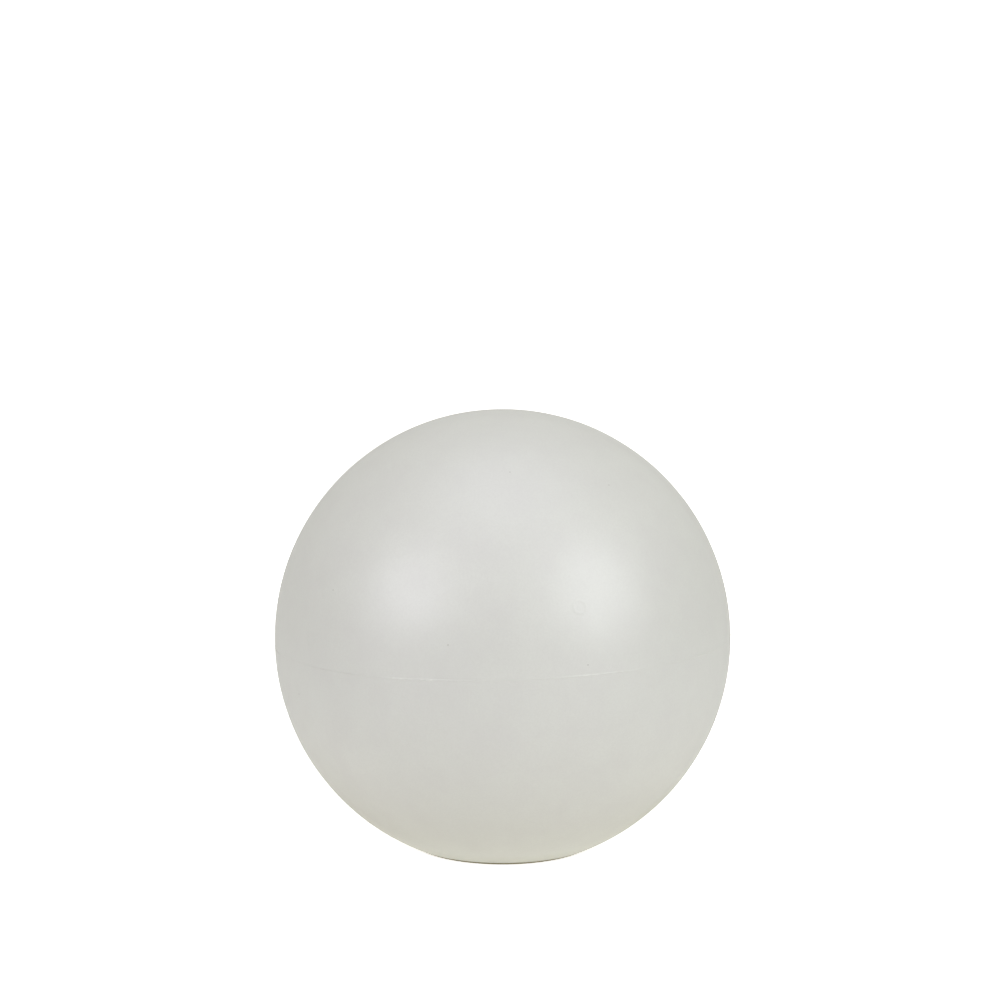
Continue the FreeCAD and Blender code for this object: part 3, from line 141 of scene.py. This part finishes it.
class Shader:
    """A material's node tree, with short calls for its nodes and links."""

    def __init__(self, name):
        self.material = bpy.data.materials.new(name)
        self.material.use_nodes = True
        self.tree = self.material.node_tree
        self.surface = self.tree.nodes["Principled BSDF"]
        self.place = self.node("ShaderNodeTexCoord").outputs["Object"]

    def node(self, kind, **settings):
        made = self.tree.nodes.new(kind)
        for name, setting in settings.items():
            setattr(made, name, setting)
        return made

    def join(self, source, target):
        if isinstance(source, (int, float)):
            target.default_value = source
        elif isinstance(source, tuple):
            target.default_value = (*source, 1) if len(target.default_value) == 4 else source
        else:
            self.tree.links.new(source, target)

    def set(self, **values):
        """Constant values on the surface's own sockets, by socket name with _ for a space."""
        for name, number in values.items():
            self.surface.inputs[name.replace("_", " ")].default_value = number

    def feed(self, name, source):
        self.join(source, self.surface.inputs[name])

    def noise(self, scale, detail, roughness=0.5, place=None):
        made = self.node("ShaderNodeTexNoise")
        self.join(place or self.place, made.inputs["Vector"])
        made.inputs["Scale"].default_value = scale
        made.inputs["Detail"].default_value = detail
        made.inputs["Roughness"].default_value = roughness
        return made.outputs["Fac"]

    def cells(self, scale, feature="F1", randomness=1.0):
        made = self.node("ShaderNodeTexVoronoi", feature=feature)
        self.join(self.place, made.inputs["Vector"])
        made.inputs["Scale"].default_value = scale
        made.inputs["Randomness"].default_value = randomness
        return made

    def math(self, operation, first, second=0.0):
        made = self.node("ShaderNodeMath", operation=operation)
        for socket, source in zip(made.inputs, (first, second)):
            self.join(source, socket)
        return made.outputs[0]

    def span(self, source, low, high, to_low=0.0, to_high=1.0):
        """Map low..high to to_low..to_high, held at both ends."""
        made = self.node("ShaderNodeMapRange")
        for name, value in (("Value", source), ("From Min", low), ("From Max", high),
                            ("To Min", to_low), ("To Max", to_high)):
            self.join(value, made.inputs[name])
        return made.outputs["Result"]

    def mix(self, amount, first, second):
        made = self.node("ShaderNodeMix", data_type="RGBA")
        self.join(amount, made.inputs["Factor"])
        self.join(first, made.inputs["A"])
        self.join(second, made.inputs["B"])
        return made.outputs["Result"]

    def distance(self, point):
        made = self.node("ShaderNodeVectorMath", operation="DISTANCE")
        self.join(self.place, made.inputs[0])
        made.inputs[1].default_value = tuple(point)
        return made.outputs["Value"]

    def channel(self, source, number):
        """The x, y or z of a vector, or the red, green or blue of a colour."""
        made = self.node("ShaderNodeSeparateXYZ")
        self.join(source, made.inputs[0])
        return made.outputs[number]

    def dot(self, source, way):
        made = self.node("ShaderNodeVectorMath", operation="DOT_PRODUCT")
        self.join(source, made.inputs[0])
        made.inputs[1].default_value = tuple(way)
        return made.outputs["Value"]

    def stretched(self, factors):
        made = self.node("ShaderNodeVectorMath", operation="MULTIPLY")
        self.join(self.place, made.inputs[0])
        made.inputs[1].default_value = factors
        return made.outputs["Vector"]

    def seam_distance(self):
        """How far a point lies above the plane of the parting line."""
        normal = (-math.sin(SEAM_TILT), 0, math.cos(SEAM_TILT))
        return self.math("SUBTRACT", self.dot(self.place, normal), CENTRE_Z * math.cos(SEAM_TILT))

    def scratch(self, middle, lean, length):
        """A fine straight mark on the globe round a middle point."""
        up = Vector((0, 0, 1))
        outward = (middle - Vector((0, 0, CENTRE_Z))).normalized()
        along = (up - outward * up.dot(outward)).normalized()
        along = Matrix.Rotation(math.radians(lean), 3, outward) @ along
        across = outward.cross(along)
        side, reach = (
            self.math("ABSOLUTE", self.math("SUBTRACT", self.dot(self.place, way), middle.dot(way)))
            for way in (across, along)
        )
        front = self.span(self.dot(self.place, outward), 0, 20 * MM)
        mark = self.math("MULTIPLY", self.span(side, 0.15 * MM, 0.55 * MM, 1, 0),
                         self.span(reach, length * 0.6, length, 1, 0))
        return self.math("MULTIPLY", mark, front)

    def bump(self, height, distance, under=None):
        made = self.node("ShaderNodeBump")
        made.inputs["Distance"].default_value = distance
        self.join(height, made.inputs["Height"])
        if under is not None:
            self.join(under, made.inputs["Normal"])
        return made.outputs["Normal"]


# ------------------------------------------------------------------ camera
def photo_camera():
    """Focal length in pixels, place and turn of the photograph's view: ten degrees down on the
    globe, which sits low in the frame."""
    right = GLOBE_PIXEL[0] - PHOTO_SIZE / 2
    below = GLOBE_PIXEL[1] - PHOTO_SIZE / 2
    focal = GLOBE_PIXEL_RADIUS * math.sqrt(CAMERA_RADII**2 - 1)
    off_axis = math.atan(math.hypot(right, below) / focal)
    focal *= math.cos(off_axis) ** 1.5  # a ball off the axis looks larger
    reach = CAMERA_RADII * GLOBE_RADIUS
    place = Vector((0, -reach * math.cos(CAMERA_ELEVATION),
                    CENTRE_Z + reach * math.sin(CAMERA_ELEVATION)))
    pitch = CAMERA_ELEVATION - math.atan(below / focal)
    yaw = math.atan(right / focal)
    return focal, place, Euler((math.pi / 2 - pitch, 0, yaw))


def aim_camera():
    focal, place, turn = photo_camera()
    data = bpy.data.cameras.new("camera")
    data.sensor_width = SENSOR
    data.lens = focal / PHOTO_SIZE * SENSOR
    camera = link(bpy.data.objects.new("camera", data))
    camera.location = place
    camera.rotation_euler = turn
    bpy.context.scene.camera = camera


def on_globe(pixel):
    """The point of the globe's front that the photograph shows at a pixel."""
    focal, place, turn = photo_camera()
    ray = Vector((pixel[0] - PHOTO_SIZE / 2, PHOTO_SIZE / 2 - pixel[1], -focal))
    ray.rotate(turn)
    ray.normalize()
    away = place - Vector((0, 0, CENTRE_Z))
    half = away.dot(ray)
    return place + ray * (-half - math.sqrt(half**2 - away.length_squared + GLOBE_RADIUS**2))


# ------------------------------------------------------------------ light and floor
def soft_box(name, azimuth, elevation, distance, size, strength, tint):
    """An area light aimed at the globe. Azimuth 0 is in front, positive to the right."""
    data = bpy.data.lights.new(name, "AREA")
    data.shape = "ELLIPSE"
    data.size, data.size_y = size
    data.energy = strength
    data.color = tint
    light = link(bpy.data.objects.new(name, data))
    a, e = math.radians(azimuth), math.radians(elevation)
    away = Vector((math.sin(a) * math.cos(e), -math.cos(a) * math.cos(e), math.sin(e)))
    light.location = Vector((0, 0, CENTRE_Z)) + away * distance
    light.rotation_euler = away.to_track_quat("Z", "Y").to_euler()


def light_studio():
    world = bpy.data.worlds.new("studio")
    bpy.context.scene.world = world
    world.use_nodes = True
    background = world.node_tree.nodes["Background"]
    background.inputs["Color"].default_value = (*WORLD_TINT, 1)
    background.inputs["Strength"].default_value = WORLD_STRENGTH
    for box in SOFT_BOXES:
        soft_box(*box)
    bpy.context.scene.view_settings.view_transform = "Standard"


def lay_floor():
    """A white floor that turns up into a low wall all round. Rays straight from the camera see plain
    paper, and all others the weaker glow near the foot."""
    turn = np.linspace(0, 2 * math.pi, 96, endpoint=False)
    cove = np.linspace(0, math.pi / 2, 12)
    section = [(0.6, 0.0), (2.0, 0.0)]
    section += [(FLOOR_REACH - COVE + COVE * math.sin(a), COVE - COVE * math.cos(a)) for a in cove]
    section += [(FLOOR_REACH, WALL_HEIGHT)]
    points = [(0, 0, 0)]
    for reach, height in section:
        points += [(reach * math.cos(a), reach * math.sin(a), height) for a in turn]
    count = len(turn)
    faces = [(0, 1 + k, 1 + (k + 1) % count) for k in range(count)]
    for row in range(len(section) - 1):
        a, b = 1 + row * count, 1 + (row + 1) * count
        faces += [(a + k, b + k, b + (k + 1) % count, a + (k + 1) % count) for k in range(count)]
    floor = mesh_object("floor", points, faces)
    shader = Shader("floor_white")
    tone = shader.noise(3, 3)
    shader.feed("Base Color", shader.mix(tone, (0.9, 0.898, 0.89), (0.91, 0.908, 0.9)))
    shader.feed("Roughness", shader.span(tone, 0.3, 0.7, 0.7, 0.8))
    shader.set(Specular_IOR_Level=0.2)
    off_middle = shader.distance((0, 0, 0))
    glow = shader.mix(shader.span(off_middle, 0.09, 0.5, 1, 0), (0, 0, 0), NEAR_GLOW)
    glow = shader.mix(shader.span(off_middle, 0.1, 0.15, 1, 0), glow, FOOT_GLOW)
    seen = shader.node("ShaderNodeLightPath").outputs["Is Camera Ray"]
    paper = shader.mix(seen, glow, (PAPER_WHITE, PAPER_WHITE, PAPER_WHITE))
    shader.feed("Emission Color", paper)
    shader.set(Emission_Strength=1)
    floor.data.materials.append(shader.material)


# ------------------------------------------------------------------ globe
def sphere_row(radius, latitude, columns, tilt=0.0):
    """A ring of points on the globe at a latitude about an axis tilted in the XZ plane."""
    turn = np.linspace(0, 2 * math.pi, columns, endpoint=False)
    x = radius * math.cos(latitude) * np.cos(turn)
    y = radius * math.cos(latitude) * np.sin(turn)
    z = np.full(columns, radius * math.sin(latitude))
    c, s = math.cos(tilt), math.sin(tilt)
    return np.stack([x * c - z * s, y, x * s + z * c + CENTRE_Z], axis=1)


def moulded_row(latitude, columns, waves):
    """A ring of the outside, with the slight waviness of a moulding and the seam's uneven bead."""
    tilt = SEAM_TILT * math.cos(min(abs(latitude) * SEAM_FADE, math.pi / 2)) ** 2
    row = sphere_row(GLOBE_RADIUS, latitude, columns, tilt)
    centre = np.array([0, 0, CENTRE_Z])
    normal = (row - centre) / GLOBE_RADIUS
    swell = sum(np.sin(row @ wave + shift) for wave, shift in waves) / math.sqrt(len(waves))
    fade = min(1, max(0, (row[0, 2] - RIM_LIFT) / RIM_FADE))
    lift = WAVE_HEIGHT * swell * fade - WAVE_HEIGHT * fade
    apart = latitude * GLOBE_RADIUS
    turn = np.linspace(0, 2 * math.pi, columns, endpoint=False)
    uneven = sum((height * np.sin(count * turn + shift) for height, count, shift in BEAD_WAVES),
                 start=BEAD_MEAN)
    uneven *= 1 - BEAD_CUT * (np.sin(61 * turn + 1.3) * np.sin(17 * turn) > 0.9)
    lift = lift + SEAM_STAND * uneven * math.exp(-((apart / SEAM_SPREAD) ** 2))
    return row + normal * lift[:, None]


def mould_waves():
    """Waves in all directions, as pairs of a wave vector and a shift."""
    random = np.random.default_rng(11)
    waves = []
    for _ in range(WAVE_COUNT):
        way = random.normal(size=3)
        way *= 2 * math.pi / random.uniform(*WAVE_LENGTHS) / MM / np.linalg.norm(way)
        waves.append((way, random.uniform(0, 2 * math.pi)))
    return waves


def flat_row(radius, height, columns):
    turn = np.linspace(0, 2 * math.pi, columns, endpoint=False)
    level = np.full(columns, height)
    return np.stack([radius * np.cos(turn), radius * np.sin(turn), level], axis=1)


def lathe(rows, columns, first_pole, last_pole):
    """Faces between rows of equal length, closed by a point at each end."""
    points = [first_pole, *[point for row in rows for point in row], last_pole]
    faces = [(0, 1 + (k + 1) % columns, 1 + k) for k in range(columns)]
    for number in range(len(rows) - 1):
        a, b = 1 + number * columns, 1 + (number + 1) * columns
        faces += [(a + k, a + (k + 1) % columns, b + (k + 1) % columns, b + k)
                  for k in range(columns)]
    last = 1 + (len(rows) - 1) * columns
    faces += [(last + k, last + (k + 1) % columns, len(points) - 1) for k in range(columns)]
    return points, faces


def add_ramps(points, faces):
    """The three ramps of the quick thread, in the neck."""
    steps = 14
    for start in range(THREAD_STARTS):
        base = len(points)
        for k in range(steps + 1):
            part = RAMP_ARC * (k / steps - 0.5)
            angle = part + start * 2 * math.pi / THREAD_STARTS
            low = REBATE_TOP + RAMP_START + THREAD_LEAD * part / (2 * math.pi)
            for radius, height in (
                (RAMP_BORE, low), (NECK_BORE + RAMP_BITE, low),
                (NECK_BORE + RAMP_BITE, low + RAMP_THICK), (RAMP_BORE, low + RAMP_THICK),
            ):
                points.append((radius * math.cos(angle), radius * math.sin(angle), height))
        for k in range(steps):
            a, b = base + 4 * k, base + 4 * k + 4
            faces += [(a + i, b + i, b + (i + 1) % 4, a + (i + 1) % 4) for i in range(4)]
        end = base + 4 * steps
        faces += [(base, base + 1, base + 2, base + 3), (end + 3, end + 2, end + 1, end)]


def make_globe():
    columns = GLOBE_COLUMNS
    waves = mould_waves()
    rim_latitude = -math.asin(GLOBE_DROP / GLOBE_RADIUS)
    rows = [moulded_row(latitude, columns, waves)
            for latitude in np.radians(np.linspace(89.5, 1.0, UPPER_ROWS))]
    for apart in SEAM_ROWS:
        rows.append(moulded_row(apart * MM / GLOBE_RADIUS, columns, waves))
    rows += [moulded_row(latitude, columns, waves)
             for latitude in np.linspace(math.radians(-1.0), rim_latitude + RIM_GAP, LOWER_ROWS)]
    for angle in np.radians((64, 40, 16)):
        rows.append(flat_row(FLAT_RADIUS - RIM_ROUND + RIM_ROUND * math.sin(angle),
                             RIM_LIFT + RIM_ROUND - RIM_ROUND * math.cos(angle), columns))
    for radius, height in (
        (RIM_BORE, RIM_LIFT), (RIM_BORE, REBATE_TOP), (NECK_BORE, REBATE_TOP),
        (NECK_BORE, REBATE_TOP + NECK_RISE), (NECK_BORE + NECK_WALL, REBATE_TOP + NECK_RISE),
        (NECK_BORE + NECK_WALL, REBATE_TOP + FLOOR_WALL),
    ):
        rows.append(flat_row(radius, height, columns))
    inner = GLOBE_RADIUS - GLOBE_WALL
    floor_latitude = math.asin((REBATE_TOP + FLOOR_WALL - CENTRE_Z) / inner)
    for latitude in np.linspace(floor_latitude, math.radians(88), INNER_ROWS):
        rows.append(sphere_row(inner, latitude, columns))
    points, faces = lathe(rows, columns, (0, 0, CENTRE_Z + GLOBE_RADIUS), (0, 0, CENTRE_Z + inner))
    add_ramps(points, faces)
    globe = mesh_object("globe_moulding", points, faces)
    globe.data.set_sharp_from_angle(angle=math.radians(40))
    globe.data.materials.append(polyethylene())
    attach(globe, "globe")
    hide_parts("globe_shell")


# ------------------------------------------------------------------ button spring
def make_spring(finish):
    """The coil over the power button, a fixed helix of round wire between its two ends."""
    steps, sides = 144, 10
    low, high = SPRING_ENDS
    points = []
    for k in range(steps + 1):
        turn = 2 * math.pi * SPRING_TURNS * k / steps
        for side in range(sides):
            around = 2 * math.pi * side / sides
            radius = SPRING_RADIUS + SPRING_WIRE * math.cos(around)
            points.append((SPRING_MIDDLE[0] + radius * math.cos(turn),
                           SPRING_MIDDLE[1] + radius * math.sin(turn),
                           low + (high - low) * k / steps + SPRING_WIRE * math.sin(around)))
    faces = []
    for k in range(steps):
        a, b = k * sides, (k + 1) * sides
        faces += [(a + i, b + i, b + (i + 1) % sides, a + (i + 1) % sides) for i in range(sides)]
    faces += [tuple(range(sides)), tuple(steps * sides + i for i in reversed(range(sides)))]
    spring = mesh_object("return_spring", points, faces)
    spring.data.set_sharp_from_angle(angle=math.radians(50))
    spring.data.materials.append(finish)
    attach(spring, "base")
    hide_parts("button_spring")
    # it keeps 0.005 less than the travel leaves it, to stay clear of the button
    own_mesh(spring)


# ------------------------------------------------------------------ materials
METAL_STAIN = 0.25
# places on the globe's front, as pixels of the photograph: the faint round marks
ROUND_MARKS = ((397, 463), (401, 552), (580, 607), (667, 647), (325, 593), (310, 640))
MARK_RADIUS = 5 * MM
# where the parting line gets a painted highlight, in short bits
SEAM_HIGHLIGHT_PLACES = ((403, 677), (430, 680), (576, 676), (589, 675))
# the larger dark specks
SPECKS = ((510, 472), (609, 485), (448, 645), (299, 694), (588, 665), (333, 590))
# short scratches: middle, tilt from upright in degrees, half length
SCRATCHES = (((469, 705), 0, 13 * MM), ((460, 752), 38, 7 * MM))


def polyethylene():
    """Satin off-white moulded polyethylene, with the marks of its mould and of use, painted shade and
    painted highlight along the parting line, and painted shade over the foot.
    """
    shader = Shader("polyethylene")
    cloud = shader.span(shader.noise(7, 3, 0.55), 0.3, 0.7)
    colour = shader.mix(cloud, (0.49, 0.495, 0.467), (0.512, 0.517, 0.487))
    blotch = shader.span(shader.noise(34, 5, 0.7), 0.42, 0.72)
    colour = shader.mix(shader.math("MULTIPLY", blotch, 0.45), colour, (0.47, 0.462, 0.45))

    grain = shader.span(shader.noise(640, 2, 0.6), 0.4, 0.62, 0, 0.3)
    colour = shader.mix(grain, colour, (0.455, 0.455, 0.43))

    # dust and dark specks, a few to the hand's breadth
    flecks = shader.cells(34)
    chosen = shader.math("GREATER_THAN", shader.channel(flecks.outputs["Color"], 0), 0.72)
    spot = shader.span(flecks.outputs["Distance"], 0.014, 0.024, 1, 0)
    dot = shader.math("MULTIPLY", shader.math("MULTIPLY", spot, chosen), 0.45)
    for pixel in SPECKS:
        speck = shader.span(shader.distance(on_globe(pixel)), 0.2 * MM, 0.75 * MM, 0.9, 0)
        dot = shader.math("MAXIMUM", dot, speck)
    colour = shader.mix(shader.math("MULTIPLY", dot, 0.75), colour, (0.16, 0.15, 0.13))

    # the parting line: painted shade as a dark line, strongest at the left, and painted highlight in
    # bits near the trimmed places
    apart = shader.seam_distance()
    line = shader.span(shader.math("ABSOLUTE", apart), 0.25 * MM, 0.9 * MM, 1, 0)
    along = shader.span(shader.noise(16, 3, 0.6), 0.42, 0.6)
    # painted shade: the dark parting line is strongest at the left side and almost gone elsewhere
    seam_shade = shader.span(shader.channel(shader.place, 0), -185 * MM, -90 * MM, 0.4, 0.03)
    colour = shader.mix(shader.math("MULTIPLY", line, shader.math("MULTIPLY", along, seam_shade)),
                        colour, (0.22, 0.21, 0.19))
    bitten = shader.span(shader.noise(210, 3, 0.65), 0.45, 0.62)
    # painted highlight: how strongly the parting line is lightened near each listed place
    highlight_weight = 0.05
    for pixel in SEAM_HIGHLIGHT_PLACES:
        near = shader.span(shader.distance(on_globe(pixel)), 1.5 * MM, 22 * MM, 0.5, 0)
        highlight_weight = shader.math("MAXIMUM", highlight_weight, shader.math("MULTIPLY", near, near))
    painted_highlight = shader.math("MULTIPLY", shader.math("MULTIPLY", line, bitten), highlight_weight)
    colour = shader.mix(painted_highlight, colour, (0.74, 0.74, 0.7))

    # scratches, and painted shade, olive and patchy, over the lowest part of the globe above the foot
    scores = 0.0
    for pixel, lean, length in SCRATCHES:
        scores = shader.math("MAXIMUM", scores, shader.scratch(on_globe(pixel), lean, length))
    colour = shader.mix(shader.math("MULTIPLY", scores, 0.1), colour, (0.62, 0.62, 0.59))
    height = shader.channel(shader.place, 2)
    # painted shade: darker and olive within 16 mm of the floor, in patches
    foot_shade = shader.math("MULTIPLY", shader.span(height, 3 * MM, 16 * MM, 0.35, 0),
                        shader.span(shader.noise(26, 4, 0.6), 0.3, 0.7, 0.4, 1))
    colour = shader.mix(foot_shade, colour, (0.36, 0.34, 0.27))
    shader.feed("Base Color", colour)

    marks = 0.0
    for pixel in ROUND_MARKS:
        off = shader.math("SUBTRACT", shader.distance(on_globe(pixel)), MARK_RADIUS)
        ring = shader.span(shader.math("ABSOLUTE", off), 0.3 * MM, 1.8 * MM, 1, 0)
        marks = shader.math("MAXIMUM", marks, ring)
    peel = shader.bump(shader.noise(520, 3, 0.65), 0.06 * MM)
    pits = shader.bump(shader.math("MULTIPLY", dot, -1), 0.05 * MM, peel)
    ringed = shader.bump(marks, 0.09 * MM, pits)
    shader.feed("Normal", shader.bump(scores, 0.03 * MM, ringed))
    gloss = shader.span(shader.noise(30, 3), 0.3, 0.7, 0.425, 0.475)
    shader.feed("Roughness", shader.math("ADD", gloss, shader.math("MULTIPLY", marks, 0.03)))
    shader.set(IOR=1.6, Specular_IOR_Level=1.0)
    return shader.material


def moulded(name, colour, roughness, grain, depth, dusty=0.0):
    """Moulded plastic or rubber with a fine grain, darker patches and, where asked, some dust."""
    shader = Shader(name)
    dark = tuple(channel * 0.88 for channel in colour)
    tone = shader.mix(shader.span(shader.noise(45, 4, 0.6), 0.3, 0.7), dark, colour)
    if dusty:
        dust = shader.span(shader.noise(120, 5, 0.7), 0.5, 0.75, 0, dusty)
        tone = shader.mix(dust, tone, (0.42, 0.4, 0.35))
    shader.feed("Base Color", tone)
    patches = shader.noise(80, 3)
    shader.feed("Roughness", shader.span(patches, 0.3, 0.7, roughness * 0.9, roughness * 1.1))
    shader.feed("Normal", shader.bump(shader.noise(grain, 2, 0.6), depth * MM))
    return shader.material


def metal(name, colour, roughness, stretch=(1, 1, 14)):
    """Bare metal with the fine lines of its turning or rolling, and darker patches."""
    shader = Shader(name)
    lines = shader.noise(900, 3, 0.6, shader.stretched(stretch))
    stain = shader.span(shader.noise(160, 4, 0.6), 0.4, 0.75, 0, METAL_STAIN)
    shader.feed("Base Color", shader.mix(stain, colour, tuple(channel * 0.6 for channel in colour)))
    shader.feed("Roughness", shader.span(lines, 0.3, 0.7, roughness * 0.75, roughness * 1.3))
    shader.feed("Normal", shader.bump(lines, 0.01 * MM))
    shader.set(Metallic=1.0)
    return shader.material


def circuit_board(name, mask, copper):
    """Solder mask over a net of copper tracks, with bare pads."""
    shader = Shader(name)
    tracks = shader.cells(330, "DISTANCE_TO_EDGE", 0.25).outputs["Distance"]
    raised = shader.span(tracks, 0.1, 0.16)
    tone = shader.mix(raised, mask, copper)
    pads = shader.cells(190)
    bare = shader.math("MULTIPLY", shader.span(pads.outputs["Distance"], 0.1, 0.13, 1, 0),
                       shader.math("GREATER_THAN", shader.channel(pads.outputs["Color"], 1), 0.7))
    shader.feed("Base Color", shader.mix(bare, tone, (0.7, 0.68, 0.62)))
    shader.feed("Metallic", shader.math("MULTIPLY", bare, 0.9))
    shader.feed("Roughness", shader.span(shader.noise(200, 2), 0.3, 0.7, 0.25, 0.35))
    shader.feed("Normal", shader.bump(raised, 0.03 * MM))
    return shader.material


def opal(name, colour):
    """Smooth opal plastic that scatters light inside."""
    shader = Shader(name)
    cloud = shader.span(shader.noise(25, 3), 0.3, 0.7)
    dark = tuple(channel * 0.96 for channel in colour)
    shader.feed("Base Color", shader.mix(cloud, dark, colour))
    shader.feed("Roughness", shader.span(shader.noise(60, 3), 0.3, 0.7, 0.24, 0.32))
    shader.feed("Normal", shader.bump(shader.noise(500, 2), 0.008 * MM))
    shader.set(IOR=1.49, Subsurface_Weight=0.3, Subsurface_Scale=0.004)
    return shader.material


def clear(name, colour):
    """Clear acrylic rod with fine flow lines."""
    shader = Shader(name)
    flow = shader.noise(300, 3, 0.5, shader.stretched((1, 1, 0.2)))
    shader.feed("Base Color", shader.mix(flow, tuple(channel * 0.95 for channel in colour), colour))
    shader.feed("Roughness", shader.span(flow, 0.3, 0.7, 0.04, 0.1))
    shader.feed("Normal", shader.bump(flow, 0.01 * MM))
    shader.set(IOR=1.49, Transmission_Weight=0.9)
    return shader.material


def phosphor(name):
    """Yellow phosphor with a fine speckle."""
    shader = Shader(name)
    speck = shader.span(shader.noise(1400, 3, 0.7), 0.4, 0.6)
    shader.feed("Base Color", shader.mix(speck, (0.78, 0.62, 0.16), (0.88, 0.75, 0.26)))
    shader.feed("Roughness", shader.span(speck, 0, 1, 0.35, 0.5))
    shader.feed("Normal", shader.bump(speck, 0.01 * MM))
    return shader.material


def finish_for(slot, colour):
    """The finish of one material slot of the record."""
    makers = {
        "base_shell": lambda: moulded(slot, colour, 0.48, 800, 0.04, 0.25),
        "khaki_rubber": lambda: moulded(slot, colour, 0.75, 700, 0.06, 0.12),
        "seal_rubber": lambda: moulded(slot, colour, 0.6, 1100, 0.02, 0.15),
        "clear_silicone": lambda: opal(slot, colour),
        "stainless": lambda: metal(slot, colour, 0.28),
        "brass_insert": lambda: metal(slot, colour, 0.35, (14, 14, 1)),
        "tray_black": lambda: moulded(slot, colour, 0.55, 900, 0.03),
        "cell_sleeve": lambda: moulded(slot, colour, 0.22, 1500, 0.006),
        "nickel": lambda: metal(slot, colour, 0.25, (14, 1, 1)),
        "board_green": lambda: circuit_board(slot, (0.012, 0.09, 0.035), (0.03, 0.17, 0.07)),
        "board_white": lambda: circuit_board(slot, (0.8, 0.8, 0.78), (0.86, 0.86, 0.84)),
        "chip_black": lambda: moulded(slot, colour, 0.5, 1800, 0.01),
        "ferrite": lambda: moulded(slot, colour, 0.7, 2200, 0.03),
        "can_aluminium": lambda: metal(slot, colour, 0.22, (1, 1, 20)),
        "socket_cream": lambda: moulded(slot, colour, 0.35, 1500, 0.008),
        "lead_sleeve": lambda: moulded(slot, colour, 0.4, 2500, 0.01),
        "lead_white": lambda: moulded(slot, colour, 0.4, 2500, 0.01),
        "button_grey": lambda: moulded(slot, colour, 0.35, 1500, 0.01, 0.1),
        "port_metal": lambda: metal(slot, colour, 0.2, (1, 1, 20)),
        "heat_aluminium": lambda: metal(slot, colour, 0.38, (1, 14, 14)),
        "led_phosphor": lambda: phosphor(slot),
        "dome_opal": lambda: opal(slot, colour),
        "clear_pipe": lambda: clear(slot, colour),
    }
    return makers[slot]()


def dress_frame():
    """Every carried-over piece gets the finish of its material slot."""
    record = frame["record"]
    colours = {material["slot"]: tuple(material["base_color"][:3])
               for material in record["materials"]}
    finishes = {}
    for subpart in record["subparts"]:
        node, slot = subpart["node"], subpart["material_slot"]
        if node == "globe_shell":
            continue
        if slot not in finishes:
            finishes[slot] = finish_for(slot, colours[slot])
        if node == "button_spring":
            make_spring(finishes[slot])
            continue
        materials = frame["nodes"][node].data.materials
        materials.clear()
        materials.append(finishes[slot])


aim_camera()
light_studio()
lay_floor()
make_globe()
dress_frame()
